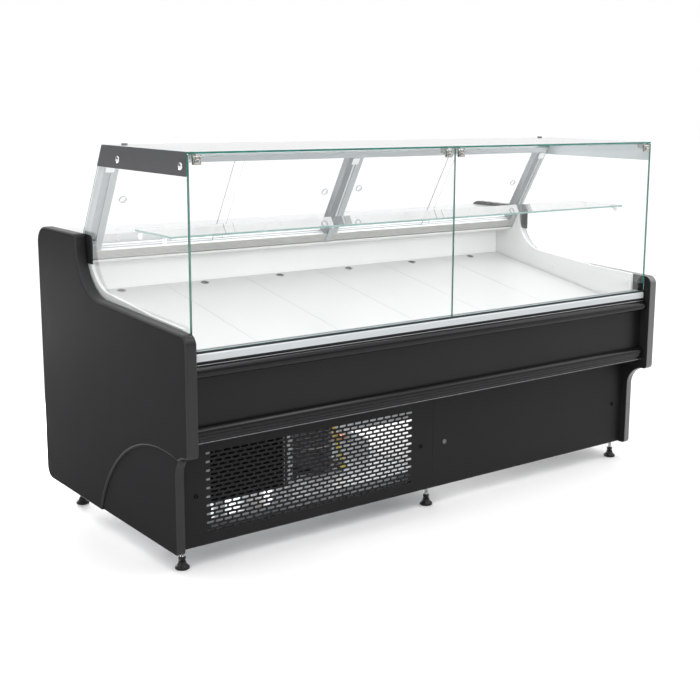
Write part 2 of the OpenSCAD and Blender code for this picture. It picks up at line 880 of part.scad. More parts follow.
// One straight leg of a pipe, along X, Y or Z
module leg(a, b, r) {
    low = [min(a[0], b[0]), min(a[1], b[1]), min(a[2], b[2])];
    len = norm(b - a);
    if (a[0] != b[0]) rod_x(low[0], len, low[1], low[2], r);
    if (a[1] != b[1]) rod_y(low[0], low[1], len, low[2], r);
    if (a[2] != b[2]) translate(low) cylinder(h = len, r = r);
}

// Straight legs joined by round elbow fittings
module pipe_run(points, r) {
    for (i = [0:len(points) - 2]) leg(points[i], points[i + 1], r);
    for (i = [1:len(points) - 2]) translate(points[i]) sphere(r * 1.4);
}

module refrigerant_pipes() {
    top = 544;
    liquid = risers[0];
    suction = risers[1];
    rx = receiver_at[0];
    ry = receiver_at[1];
    color(copper) from_front() {
        pipe_run([[-562, 183, 351], [-545, 183, 351], [-545, ry, 351], [rx, ry, 351], [rx, ry, 336]], 5);
        pipe_run([[-562, 219, 204], [-535, 219, 204], [-535, 430, 204], [-405, 430, 204]], 5);
        pipe_run([[rx, ry + 42, 200], [rx, liquid[1], 200], [liquid[0], liquid[1], 200],
            [liquid[0], liquid[1], top]], liquid[2]);
        pipe_run([[-221, 430, 200], [suction[0], 430, 200], [suction[0], suction[1], 200],
            [suction[0], suction[1], top]], suction[2]);
    }
}

module slanting_leg(a, b, r) {
    way = b - a;
    translate(a) rotate([0, acos(way[2] / norm(way)), atan2(way[1], way[0])]) cylinder(h = norm(way), r = r);
}

module earth_wire() {
    // down from the body, then back to the compressor
    wire_points = [[-418, 150, 415], [-350, 150, 200], [-325.1, 338.4, 200]];
    color("#d8c21c") from_front() {
        for (i = [0:1]) slanting_leg(wire_points[i], wire_points[i + 1], 3.5);
        translate(wire_points[1]) sphere(5);
    }
}

left_end_panel();
right_end_panel();
left_end_liner();
right_end_liner();
base_frame();
insulated_tub();
inner_tank();
glass_sill();
upper_bumper();
front_panel();
lower_bumper();
kick_panel_vented();
kick_panel_plain();
kick_panel_screws();
front_feet();
rear_feet();
left_side_glass();
right_side_glass();
top_glass();
left_front_glass();
right_front_glass();
left_glass_clamps();
right_glass_clamps();
hinge_blocks();
canopy_end_plates();
canopy_bolt_caps();
canopy_pillars();
upper_door_rail();
lower_door_track();
track_end_caps();
sliding_door_1();
sliding_door_2();
sliding_door_3();
sliding_door_4();
glass_shelf();
shelf_supports();
canopy_light();
worktop();
rear_panel();
control_panel();
thermostat_dial();
power_switch();
light_switch();
cable_gland();
deck_plate_1();
deck_plate_2();
deck_plate_3();
deck_plate_4();
deck_plate_5();
deck_plate_6();
evaporator();
drain();
machine_tray();
compressor();
condenser();
fan_shroud();
condenser_fan();
receiver();
refrigerant_pipes();
earth_wire();
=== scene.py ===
"""Refrigerated deli case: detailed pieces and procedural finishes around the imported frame."""
from math import acos, atan, atan2, cos, dist, hypot, pi, radians, sin, tan
import bpy
import bmesh
from mathutils import Matrix, Vector


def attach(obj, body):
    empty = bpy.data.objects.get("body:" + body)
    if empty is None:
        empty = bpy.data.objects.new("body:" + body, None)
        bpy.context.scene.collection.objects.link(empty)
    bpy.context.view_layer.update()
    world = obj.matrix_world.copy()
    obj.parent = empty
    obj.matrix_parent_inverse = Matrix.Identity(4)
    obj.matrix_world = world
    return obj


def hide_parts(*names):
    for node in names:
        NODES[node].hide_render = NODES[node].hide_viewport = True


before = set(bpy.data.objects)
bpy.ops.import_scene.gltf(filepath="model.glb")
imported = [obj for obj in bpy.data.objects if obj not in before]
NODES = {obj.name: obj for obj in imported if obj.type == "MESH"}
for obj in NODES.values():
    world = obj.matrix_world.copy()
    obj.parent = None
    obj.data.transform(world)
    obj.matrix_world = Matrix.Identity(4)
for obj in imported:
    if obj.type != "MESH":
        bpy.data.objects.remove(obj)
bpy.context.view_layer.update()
SCENE = bpy.context.scene
DEPTH = 1035.0


def at(x, y, z):
    """Millimetres, with y measured from the front edge, to the row frame in metres."""
    return Vector((x / 1000, (y - DEPTH / 2) / 1000, z / 1000))


LEAN = radians(30)


def lean(x, n, s):
    """A point on the leaning staff side: n out of it, s down along it."""
    y = 572 + cos(LEAN) * n + sin(LEAN) * s
    z = 1238 - cos(LEAN) * s + sin(LEAN) * n
    return at(x, y, z)


# ---- camera
def make_camera():
    yaw, pitch, roll = radians(38.45), radians(10.68), radians(0.64)
    forward = Vector((sin(yaw) * cos(pitch), cos(yaw) * cos(pitch), -sin(pitch)))
    right = Vector((cos(yaw), -sin(yaw), 0))
    up = right.cross(forward)
    r = right * cos(roll) + up * sin(roll)
    u = -right * sin(roll) + up * cos(roll)
    data = bpy.data.cameras.new("camera")
    data.lens, data.sensor_width = 60.52, 36
    data.shift_x, data.shift_y = -0.0659, -0.0441
    data.clip_start, data.clip_end = 0.05, 100
    cam = bpy.data.objects.new("camera", data)
    SCENE.collection.objects.link(cam)
    m = Matrix((r, u, -forward)).transposed().to_4x4()
    m.translation = Vector((-2.5143, -3.3563, 1.3898))
    cam.matrix_world = m
    SCENE.camera = cam


make_camera()


# ---- materials
def add_node(tree, kind, inputs=(), **props):
    """A shader node whose inputs are given as values or as other nodes' sockets."""
    n = tree.nodes.new("ShaderNode" + kind)
    for k, v in props.items():
        setattr(n, k, v)
    for k, v in dict(inputs).items():
        if isinstance(v, bpy.types.NodeSocket):
            tree.links.new(v, n.inputs[k])
        else:
            n.inputs[k].default_value = v
    return n


class Nodes:
    """A short way to write a material's node tree."""

    def __init__(self, name):
        self.mat = bpy.data.materials.new(name)
        self.mat.use_nodes = True
        self.tree = self.mat.node_tree
        self.tree.nodes.clear()
        self.out = self.tree.nodes.new("ShaderNodeOutputMaterial")

    def new(self, kind, inputs=(), **props):
        return add_node(self.tree, kind, inputs, **props)

    def finish(self, shader):
        self.tree.links.new(shader.outputs[0], self.out.inputs[0])
        return self.mat

    def place(self):
        return self.new("TexCoord").outputs["Object"]

    def stretched(self, scale):
        return self.new("Mapping", {"Vector": self.place(), "Scale": scale}).outputs[0]

    def noise(self, scale, where=None, detail=3.0, rough=0.5):
        return self.new("TexNoise", {"Vector": where or self.place(), "Scale": scale, "Detail": detail,
                                     "Roughness": rough}).outputs["Fac"]

    def span(self, fac, low, high, start=0.3, end=0.7):
        return self.new("MapRange", {0: fac, 1: start, 2: end, 3: low, 4: high}).outputs[0]

    def ramp(self, fac, a, b, start=0.3, end=0.7):
        r = self.new("ValToRGB", {"Fac": fac})
        e = r.color_ramp.elements
        e[0].position, e[0].color = start, (*a, 1)
        e[1].position, e[1].color = end, (*b, 1)
        return r.outputs[0]

    def mix(self, fac, a, b):
        m = self.new("Mix", {0: fac, 6: a if isinstance(a, bpy.types.NodeSocket) else (*a, 1),
                             7: b if isinstance(b, bpy.types.NodeSocket) else (*b, 1)}, data_type="RGBA")
        return m.outputs[2]

    def bump(self, height, strength, distance, under=None):
        ins = {"Height": height, "Strength": strength, "Distance": distance}
        if under:
            ins["Normal"] = under
        return self.new("Bump", ins).outputs[0]


def shade(color, k):
    return tuple(min(1.0, c * k) for c in color)


def surface(name, color, rough=0.5, metal=0.0, spec=0.5, vary=0.06, grain=0.0, fine=900.0,
            ripple=0.0, brushed=None, edge_scuff_and_sheen=0.0, edge_scuff_and_sheen_color=None, coat=0.0, uneven=0.06):
    """A painted, moulded or metal finish: broad tint changes, uneven gloss, a fine grain and edges of another
    tone, which are wear on most finishes and a painted highlight on the charcoal rims.
    """
    t = Nodes(name)
    cloud = t.noise(3.1, detail=4)
    base = t.ramp(cloud, shade(color, 1 - vary), shade(color, 1 + vary))
    where = t.stretched(brushed) if brushed else t.place()
    speck = t.noise(fine, where, detail=2)
    if brushed:
        base = t.mix(t.span(speck, 0.0, 0.28), base, shade(color, 0.72))
    # Edges of another tone through a bevel mask: wear, and on the charcoal rims a painted highlight.
    if edge_scuff_and_sheen:
        edge = t.new("Bevel", {"Radius": 0.003}, samples=3).outputs[0]
        flat = t.new("NewGeometry").outputs["Normal"]
        dot = t.new("VectorMath", {0: edge, 1: flat}, operation="DOT_PRODUCT").outputs["Value"]
        edge_scuff_and_sheen_parts = {0: t.span(dot, 1.0, 0.0, 0.90, 0.995), 1: t.span(t.noise(38, detail=5), 0.15, 1.0)}
        edge_scuff_and_sheen_mask = t.new("Math", edge_scuff_and_sheen_parts, operation="MULTIPLY").outputs[0]
        edge_scuff_and_sheen_mask = t.new("Math", {0: edge_scuff_and_sheen_mask, 1: edge_scuff_and_sheen}, operation="MULTIPLY").outputs[0]
        base = t.mix(edge_scuff_and_sheen_mask, base, edge_scuff_and_sheen_color or shade(color, 2.2))
    smear = t.noise(9.0, t.stretched((1, 1.6, 0.7)), detail=5, rough=0.6)
    gloss = t.span(smear, max(0.02, rough - uneven), rough + uneven)
    ins = {"Base Color": base, "Roughness": gloss, "Metallic": metal, "Specular IOR Level": spec,
           "Coat Weight": coat, "Coat Roughness": 0.08}
    normal = None
    if ripple:
        normal = t.bump(t.noise(24, detail=2), ripple, 0.002)
    if grain:
        normal = t.bump(speck, grain, 0.0004, normal)
    if normal:
        ins["Normal"] = normal
    bsdf = t.new("BsdfPrincipled", ins)
    return t.finish(bsdf)


def glass(name, tint, ior=1.45):
    """Polished sheet glass with faint smears. Lamps and soft light pass straight through it."""
    t = Nodes(name)
    smear = t.noise(6.0, t.stretched((1, 1, 2.4)), detail=6, rough=0.65)
    color = t.ramp(smear, tint, shade(tint, 1.01))
    gloss = t.span(smear, 0.0, 0.012, 0.45, 0.8)
    bsdf = t.new("BsdfPrincipled", {"Base Color": color, "Roughness": gloss, "IOR": ior,
                                    "Transmission Weight": 1.0, "Specular IOR Level": 0.5})
    path = t.new("LightPath")
    soft = t.new("Math", {0: path.outputs["Is Shadow Ray"], 1: path.outputs["Is Diffuse Ray"]},
                 operation="MAXIMUM").outputs[0]
    clear = t.new("BsdfTransparent", {"Color": (*tint, 1)})
    mixed = t.new("MixShader", {0: soft, 1: bsdf.outputs[0], 2: clear.outputs[0]})
    return t.finish(mixed)


def glass_edge(name, deep, pale):
    """The cut edge of a sheet, where the glass looks green: polished arrises with streaks along it."""
    t = Nodes(name)
    streak = t.noise(30, t.stretched((1, 6, 6)), detail=3)
    color = t.ramp(streak, deep, pale)
    gloss = t.span(t.noise(90), 0.06, 0.16)
    bsdf = t.new("BsdfPrincipled", {"Base Color": color, "Roughness": gloss, "Coat Weight": 0.5,
                                    "Coat Roughness": 0.05, "Transmission Weight": 0.25})
    return t.finish(bsdf)


def striped(name, a, b):
    """Two-colour insulation of an earth lead, wound along the wire."""
    t = Nodes(name)
    wave = t.new("TexWave", {"Vector": t.place(), "Scale": 26.0, "Distortion": 0.6,
                             "Detail": 1.0}, bands_direction="DIAGONAL").outputs["Fac"]
    color = t.ramp(wave, a, b, 0.46, 0.54)
    bsdf = t.new("BsdfPrincipled", {"Base Color": color, "Roughness": t.span(t.noise(60), 0.34, 0.5)})
    return t.finish(bsdf)


def diffuser(name):
    """Milky cover of the lamp strip, with a very faint glow."""
    t = Nodes(name)
    color = t.ramp(t.noise(12, detail=4), (0.86, 0.87, 0.88), (0.94, 0.95, 0.96))
    bsdf = t.new("BsdfPrincipled", {"Base Color": color, "Roughness": t.span(t.noise(40), 0.28, 0.42),
                                    "Emission Color": (1, 1, 1, 1), "Emission Strength": 0.12})
    return t.finish(bsdf)


FINISHES = {
    "abs": surface("charcoal_abs", (0.0190, 0.0193, 0.0200), 0.60, spec=0.01, grain=0.12, fine=1500,
                   vary=0.02, uneven=0.02),
    # Rim faces of the left end panel: a slightly lighter charcoal with lightened edges, a painted highlight.
    "abs_edge_painted_highlight": surface("charcoal_plastic_rim_painted_highlight", (0.0215, 0.0218, 0.0225), 0.36, spec=0.24, grain=0.10, fine=1500,
                        vary=0.03, edge_scuff_and_sheen=0.30, edge_scuff_and_sheen_color=(0.07, 0.072, 0.075), uneven=0.02),
    # Rim faces of the right end panel: a lighter, glossier copy of the same charcoal, a painted highlight.
    "abs_right_rim_painted_highlight": surface("charcoal_plastic_right_rim_painted_highlight", (0.060, 0.060, 0.060), 0.24, spec=0.95, grain=0.06, fine=1500,
                       vary=0.03, uneven=0.02),
    "tank": surface("tank_white", (0.90, 0.90, 0.895), 0.34, vary=0.012, grain=0.05, fine=1100, uneven=0.03),
    "nickel": surface("satin_nickel", (0.40, 0.39, 0.37), 0.22, metal=1.0, vary=0.05, uneven=0.05,
                      ripple=0.03),
    "screw": surface("black_screws", (0.0022, 0.0022, 0.0024), 0.5, spec=0.12, vary=0.1, grain=0.1, fine=700),
    "liner": surface("white_liner", (0.84, 0.84, 0.835), 0.34, grain=0.05, vary=0.015, uneven=0.03),
    "galvanised": surface("galvanised", (0.46, 0.48, 0.50), 0.36, metal=0.8, vary=0.14, grain=0.15, fine=70),
    "zinc": surface("bright_zinc", (0.66, 0.69, 0.71), 0.24, metal=0.55, vary=0.08, grain=0.06, fine=60),
    "foam": surface("foam_skin", (0.80, 0.80, 0.78), 0.5, vary=0.03, grain=0.1),
    "white": surface("white_sheet", (0.62, 0.62, 0.617), 0.36, vary=0.012, grain=0.05, fine=1100, edge_scuff_and_sheen=0.2,
                     edge_scuff_and_sheen_color=(0.66, 0.67, 0.68), uneven=0.03),
    "sill": surface("grey_sill", (0.50, 0.525, 0.54), 0.30, metal=0.15, vary=0.015, grain=0.05, fine=900,
                    coat=0.15, uneven=0.03),
    "bumper": surface("black_bumper", (0.0064, 0.0067, 0.0073), 0.20, spec=0.22, vary=0.06, grain=0.08,
                      fine=800, edge_scuff_and_sheen=0.12, edge_scuff_and_sheen_color=(0.06, 0.06, 0.063), uneven=0.03),
    "front": surface("charcoal_front", (0.0086, 0.0086, 0.0088), 0.34, spec=0.18, vary=0.04, grain=0.16,
                     fine=1300, uneven=0.02),
    "kick": surface("charcoal_kick", (0.0102, 0.0102, 0.0105), 0.45, spec=0.14, vary=0.05, grain=0.22,
                    fine=1300, edge_scuff_and_sheen=0.2, edge_scuff_and_sheen_color=(0.05, 0.05, 0.053), uneven=0.03),
    "fixing": surface("black_fixings", (0.0065, 0.0065, 0.007), 0.36, spec=0.3, vary=0.1, grain=0.15,
                      fine=700),
    "black": surface("black_steel", (0.012, 0.0125, 0.015), 0.27, spec=0.5, vary=0.12, ripple=0.12,
                     grain=0.06),
    "fin": surface("dark_fins", (0.032, 0.034, 0.037), 0.4, metal=0.4, vary=0.2, grain=0.2, fine=300),
    "chrome": surface("chrome_fittings", (0.72, 0.73, 0.74), 0.09, metal=1.0, vary=0.04, uneven=0.03,
                      ripple=0.04),
    "plate": surface("dark_grey_plate", (0.046, 0.047, 0.051), 0.42, spec=0.35, vary=0.04, grain=0.2,
                     fine=1300, edge_scuff_and_sheen=0.25, edge_scuff_and_sheen_color=(0.14, 0.14, 0.15), uneven=0.03),
    "plate_in": surface("light_grey_plate", (0.48, 0.50, 0.52), 0.42, vary=0.02, grain=0.1, fine=900),
    "alu": surface("extruded_aluminium", (0.50, 0.52, 0.54), 0.36, metal=0.35, vary=0.03, brushed=(1, 40, 40),
                   fine=55, grain=0.08),
    "alu_warm": surface("track_aluminium", (0.60, 0.59, 0.56), 0.40, metal=0.2, vary=0.04,
                        brushed=(1, 40, 40), fine=55, grain=0.08),
    "alu_dark": surface("ribbed_aluminium", (0.27, 0.285, 0.30), 0.4, metal=0.35, vary=0.04, grain=0.2,
                        fine=400),
    "insert": surface("white_insert", (0.84, 0.85, 0.86), 0.36, vary=0.02, grain=0.06),
    "stainless": surface("stainless", (0.80, 0.81, 0.82), 0.30, metal=0.85, vary=0.02, brushed=(1, 60, 60),
                         fine=70, grain=0.08, ripple=0.02),
    "grey": surface("grey_sheet", (0.56, 0.57, 0.58), 0.36, vary=0.03, grain=0.15, fine=1200, edge_scuff_and_sheen=0.2,
                    edge_scuff_and_sheen_color=(0.4, 0.4, 0.41)),
    "ring": surface("grey_plastic", (0.17, 0.172, 0.18), 0.35, vary=0.05, grain=0.1),
    "dial": surface("dial_plastic", (0.50, 0.51, 0.52), 0.4, vary=0.05, grain=0.2),
    "pull": surface("pull_ring", (0.62, 0.64, 0.66), 0.3, vary=0.03, grain=0.06),
    "mark": surface("white_mark", (0.80, 0.80, 0.80), 0.45, vary=0.02, grain=0.1),
    "copper": surface("copper_pipe", (0.60, 0.30, 0.17), 0.32, metal=1.0, vary=0.22, uneven=0.12,
                      ripple=0.06),
    "raw": surface("finned_aluminium", (0.60, 0.61, 0.62), 0.38, metal=0.9, vary=0.08, grain=0.15, fine=200),
    "gasket": surface("dark_gasket", (0.020, 0.021, 0.022), 0.55, spec=0.3, vary=0.1, grain=0.3),
    "silver": surface("bright_trim", (0.66, 0.67, 0.68), 0.22, metal=0.7, vary=0.03, grain=0.05, fine=60),
    "trim": surface("lip_line_painted_highlight", (0.26, 0.27, 0.28), 0.30, metal=0.6, vary=0.03, grain=0.05, fine=60),
    "capplug": surface("grey_cap_plug", (0.13, 0.133, 0.137), 0.45, vary=0.05, grain=0.1),
    "glass": glass("clear_glass", (0.988, 0.998, 0.995)),
    "acrylic": glass("clear_acrylic", (0.992, 0.996, 0.998), ior=1.30),
    "edge": glass_edge("glass_cut_edge", (0.006, 0.105, 0.082), (0.030, 0.25, 0.20)),
    "edge_soft": glass_edge("shelf_cut_edge", (0.16, 0.31, 0.28), (0.34, 0.50, 0.47)),
    "edge_clear": glass_edge("acrylic_cut_edge", (0.42, 0.45, 0.46), (0.66, 0.69, 0.70)),
    "lead": striped("earth_lead", (0.20, 0.30, 0.03), (0.95, 0.66, 0.02)),
    "diffuser": diffuser("light_diffuser"),
}


# ---- mesh building
def fillet(corners, seg=8):
    """[(u, v, radius)] to a closed polygon with every corner rounded."""
    out = []
    n = len(corners)
    for i, (u, v, r) in enumerate(corners):
        here = Vector((u, v))
        back = Vector(corners[i - 1][:2]) - here
        on = Vector(corners[(i + 1) % n][:2]) - here
        if r <= 0:
            out.append((u, v))
            continue
        a, b = back.normalized(), on.normalized()
        half = acos(max(-1, min(1, a.dot(b)))) / 2
        reach = min(r / tan(half), back.length * 0.49 if r < 60 else back.length,
                    on.length * 0.49 if r < 60 else on.length)
        radius = reach * tan(half)
        centre = here + (a + b).normalized() * (radius / sin(half))
        p, q = here + a * reach - centre, here + b * reach - centre
        turn = atan2(p.x * q.y - p.y * q.x, p.dot(q))
        steps = max(2, int(round(seg * abs(turn) / (pi / 2) * (1 + radius / 90))))
        for k in range(steps + 1):
            t = turn * k / steps
            c, s = cos(t), sin(t)
            out.append((centre.x + p.x * c - p.y * s, centre.y + p.x * s + p.y * c))
    return out


def rect(u, v, r, seg=2):
    """A rectangle over the spans u and v, with round corners."""
    return fillet([(u[0], v[0], r), (u[1], v[0], r), (u[1], v[1], r), (u[0], v[1], r)], seg)


def area(loop):
    return sum(a[0] * b[1] - b[0] * a[1] for a, b in zip(loop, loop[1:] + loop[:1])) / 2


def inset(loop, d):
    """The polygon moved in by d."""
    if d == 0:
        return list(loop)
    sign = 1 if area(loop) > 0 else -1
    n, out = len(loop), []
    for i, (u, v) in enumerate(loop):
        a = Vector((u - loop[i - 1][0], v - loop[i - 1][1])).normalized()
        b = Vector((loop[(i + 1) % n][0] - u, loop[(i + 1) % n][1] - v)).normalized()
        na, nb = Vector((-a.y, a.x)) * sign, Vector((-b.y, b.x)) * sign
        m = na + nb
        k = m.dot(na)
        m = m * (d / k) if k > 0.25 else na * d
        out.append((u + m.x, v + m.y))
    return out


class Shape:
    """Closed solids that end up as one piece."""

    def __init__(self):
        self.bm = bmesh.new()

    def faces(self, verts, faces, mat=0):
        made = [self.bm.verts.new(v) for v in verts]
        new = []
        for f in faces:
            face = self.bm.faces.new([made[i] for i in f])
            face.material_index = mat
            new.append(face)
        bmesh.ops.recalc_face_normals(self.bm, faces=new)
        return new

    def prism(self, loop, a, b, put, r=(0, 0), seg=3, mat=0, side=None):
        """loop, in the (u, v) plane, swept from a up to b, with rims rounded by r.

        put(a, u, v) gives the place of a point."""

        def rounded(end, way, radius):
            """Rings from the cap at end to the full outline, radius further in."""
            if not radius:
                return [(end, loop)]
            turns = [pi / 2 * k / seg for k in range(seg + 1)]
            return [(end + way * radius * (1 - cos(t)), inset(loop, radius * (1 - sin(t)))) for t in turns]

        rings = rounded(a, 1, r[0]) + rounded(b, -1, r[1])[::-1]
        n = len(loop)
        verts = [put(x, u, v) for x, ring in rings for u, v in ring]
        last = (len(rings) - 1) * n
        caps = [list(range(n)), list(range(last + n - 1, last - 1, -1))]
        walls = [[j * n + i, j * n + (i + 1) % n, (j + 1) * n + (i + 1) % n, (j + 1) * n + i]
                 for j in range(len(rings) - 1) for i in range(n)]
        new = self.faces(verts, caps + walls, mat)
        if side is not None:
            for f in new[2:]:
                f.material_index = side

    def along_x(self, loop, x, r=(0, 0), seg=3, mat=0, side=None):
        self.prism(loop, x[0], x[1], at, r, seg, mat, side)

    def box(self, x, y, z, r=1.0, mat=0, seg=2):
        """A block with every edge rounded."""
        k = min(r, (x[1] - x[0]) / 2.2, (y[1] - y[0]) / 2.2, (z[1] - z[0]) / 2.2)
        self.along_x(rect(y, z, k, seg), x, (k * 0.9, k * 0.9), seg, mat)

    def lean_box(self, x, n, s, r=0.8, mat=0, seg=2):
        k = min(r, (x[1] - x[0]) / 2.2, (n[1] - n[0]) / 2.2, (s[1] - s[0]) / 2.2)
        self.prism(rect(n, s, k, seg), x[0], x[1], lean, (k * 0.9, k * 0.9), seg, mat)

    def lathe(self, profile, origin, axis, seg=32, mat=0):
        """profile [(radius, height)] in mm, turned about axis at origin. Radius 0 ends close it."""
        axis = Vector(axis).normalized()
        side = axis.orthogonal().normalized()
        other = axis.cross(side)
        verts, rows = [], []
        for r, h in profile:
            centre = origin + axis * (h / 1000)
            if r <= 0:
                rows.append([len(verts)])
                verts.append(centre)
            else:
                rows.append(list(range(len(verts), len(verts) + seg)))
                for k in range(seg):
                    t = 2 * pi * k / seg
                    verts.append(centre + (side * cos(t) + other * sin(t)) * (r / 1000))
        faces = []
        closed = len(rows[0]) > 1 and len(rows[-1]) > 1
        pairs = list(zip(rows, rows[1:])) + ([(rows[-1], rows[0])] if closed else [])
        for a, b in pairs:
            for k in range(seg):
                j = (k + 1) % seg
                if len(a) == 1:
                    faces.append([a[0], b[k], b[j]])
                elif len(b) == 1:
                    faces.append([a[k], b[0], a[j]])
                else:
                    faces.append([a[k], b[k], b[j], a[j]])
        self.faces(verts, faces, mat)

    def tube(self, points, radius, seg=14, mat=0, bend=0.0):
        """A round tube along points in metres, with bends of that radius in mm."""
        path = [points[0]]
        for i in range(1, len(points) - 1):
            here, a, b = points[i], points[i - 1] - points[i], points[i + 1] - points[i]
            la, lb = a.length, b.length
            a, b = a.normalized(), b.normalized()
            half = acos(max(-1, min(1, a.dot(b)))) / 2
            if half > pi / 2 - 0.02 or not bend:
                path.append(here)
                continue
            reach = min(bend / 1000 / tan(half), la * 0.48, lb * 0.48)
            p, q = here + a * reach, here + b * reach
            for k in range(9):
                t = k / 8
                path.append(p * (1 - t) ** 2 + here * 2 * t * (1 - t) + q * t * t)
        path.append(points[-1])
        verts, frame_n = [], None
        for i, p in enumerate(path):
            d = (path[min(i + 1, len(path) - 1)] - path[max(i - 1, 0)]).normalized()
            if frame_n is None:
                frame_n = d.orthogonal().normalized()
            else:
                frame_n = (frame_n - d * frame_n.dot(d)).normalized()
            o = d.cross(frame_n)
            for k in range(seg):
                t = 2 * pi * k / seg
                verts.append(p + (frame_n * cos(t) + o * sin(t)) * (radius / 1000))
        rows = len(path)
        faces = [list(range(seg)), list(range(rows * seg - 1, (rows - 1) * seg - 1, -1))]
        faces += [[j * seg + i, j * seg + (i + 1) % seg, (j + 1) * seg + (i + 1) % seg, (j + 1) * seg + i]
                  for j in range(rows - 1) for i in range(seg)]
        self.faces(verts, faces, mat)

    def plate(self, loops, thick, put, mat=0, side=None):
        """A flat sheet with holes: loops[0] is its outline. put(u, v, w) places it, w from 0 to thick."""
        curve = bpy.data.curves.new("sheet", "CURVE")
        curve.dimensions, curve.fill_mode = "2D", "BOTH"
        curve.extrude = thick / 2000
        for loop in loops:
            sp = curve.splines.new("POLY")
            sp.points.add(len(loop) - 1)
            for pt, (u, v) in zip(sp.points, loop):
                pt.co = (u / 1000, v / 1000, 0, 1)
            sp.use_cyclic_u = True
        ob = bpy.data.objects.new("sheet", curve)
        SCENE.collection.objects.link(ob)
        deps = bpy.context.evaluated_depsgraph_get()
        me = bpy.data.meshes.new_from_object(ob.evaluated_get(deps))
        tmp = bmesh.new()
        tmp.from_mesh(me)
        bmesh.ops.remove_doubles(tmp, verts=tmp.verts, dist=1e-6)
        verts = [put(v.co.x * 1000, v.co.y * 1000, v.co.z * 1000 + thick / 2) for v in tmp.verts]
        tmp.verts.index_update()
        faces = [[v.index for v in f.verts] for f in tmp.faces]
        rims = [abs(f.normal.z) < 0.5 for f in tmp.faces]
        tmp.free()
        bpy.data.objects.remove(ob)
        bpy.data.curves.remove(curve)
        bpy.data.meshes.remove(me)
        new = self.faces(verts, faces, mat)
        if side is not None:
            for f, rim in zip(new, rims):
                if rim:
                    f.material_index = side


def circle(u, v, r, n=28):
    return [(u + r * cos(2 * pi * k / n), v + r * sin(2 * pi * k / n)) for k in range(n)]


def ring_profile(r_in, r_out, h0, h1, k):
    """A flat ring with softened corners, for lathe()."""
    return [(r_in, h0 + k), (r_in + k, h0), (r_out - k, h0), (r_out, h0 + k),
            (r_out, h1 - k), (r_out - k, h1), (r_in + k, h1), (r_in, h1 - k)]


def disc_profile(r, h0, h1, k):
    return [(0, h0), (r - k, h0), (r, h0 + k), (r, h1 - k), (r - k * 0.3, h1 - k * 0.3), (r - k, h1), (0, h1)]


def piece(name, shape, mats, nodes, body="case", smooth=38):
    """The shape becomes a piece that rides on its body and stands for its CAD nodes."""
    limit = radians(smooth)
    for e in shape.bm.edges:
        e.smooth = len(e.link_faces) == 2 and e.calc_face_angle(0.0) < limit
    for f in shape.bm.faces:
        f.smooth = True
    me = bpy.data.meshes.new(name)
    shape.bm.to_mesh(me)
    shape.bm.free()
    for m in mats:
        me.materials.append(FINISHES[m])
    ob = bpy.data.objects.new(name, me)
    SCENE.collection.objects.link(ob)
    fix = ob.modifiers.new("normals", "WEIGHTED_NORMAL")
    fix.keep_sharp = True
    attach(ob, body)
    if nodes:
        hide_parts(*nodes)
    return ob


def carry(node, mat, bevel):
    """A CAD node that stays: welded, with softened edges and its finish."""
    ob = NODES[node]
    ob.data.materials.clear()
    ob.data.materials.append(FINISHES[mat])
    for f in ob.data.polygons:
        f.material_index = 0
        f.use_smooth = True
    weld = ob.modifiers.new("weld", "WELD")
    weld.merge_threshold = 1e-5
    if bevel:
        b = ob.modifiers.new("edges", "BEVEL")
        b.width, b.segments, b.limit_method, b.angle_limit = bevel, 2, "ANGLE", radians(40)
    fix = ob.modifiers.new("normals", "WEIGHTED_NORMAL")
    fix.keep_sharp = True


SIDES = (("left", -1), ("right", 1))

# ---- end panels
GAP = 64  # from the floor to the end panels
ARCH_Y, ARCH_Z = 165, -85
ARCH_RADIUS, FIELD_RADIUS, SHADOW_LINE_RADIUS = 458, 466, 457


def end_outline():
    return fillet([(0, 378, 16), (91, 378, 75), (91, GAP, 14), (1035, GAP, 40), (1035, 950, 58),
                   (721, 950, 14), (721, 761, 164), (0, 735, 30)], 10)


def arch_arc(a, b, r, n=44):
    """Points on the arch circle from angle a to b."""
    turns = [a + (b - a) * k / n for k in range(n + 1)]
    return [(ARCH_Y + r * cos(t), ARCH_Z + r * sin(t)) for t in turns]


def split_outline(loop, radius, keep_outside):
    """The part of the outline outside, or inside, the arch circle, closed by the arc."""
    off = [hypot(y - ARCH_Y, z - ARCH_Z) - radius for y, z in loop]
    n = len(loop)
    wanted = [(d > 0) == keep_outside for d in off]
    start = next(i for i in range(n) if wanted[i] and not wanted[i - 1])

    def cross(i, j):
        t = off[i] / (off[i] - off[j])
        return (loop[i][0] + (loop[j][0] - loop[i][0]) * t, loop[i][1] + (loop[j][1] - loop[i][1]) * t)

    run = [cross((start - 1) % n, start)]
    i = start
    while wanted[i]:
        run.append(loop[i])
        i = (i + 1) % n
    run.append(cross((i - 1) % n, i))
    a, b = (atan2(z - ARCH_Z, y - ARCH_Y) for y, z in (run[-1], run[0]))
    return run + arch_arc(a, b, radius)[1:-1]


def finely(loop, step=6.0):
    """The same outline with no edge longer than step."""
    out = []
    for a, b in zip(loop, loop[1:] + loop[:1]):
        n = max(1, int(dist(a, b) / step))
        out += [(a[0] + (b[0] - a[0]) * k / n, a[1] + (b[1] - a[1]) * k / n) for k in range(n)]
    return out


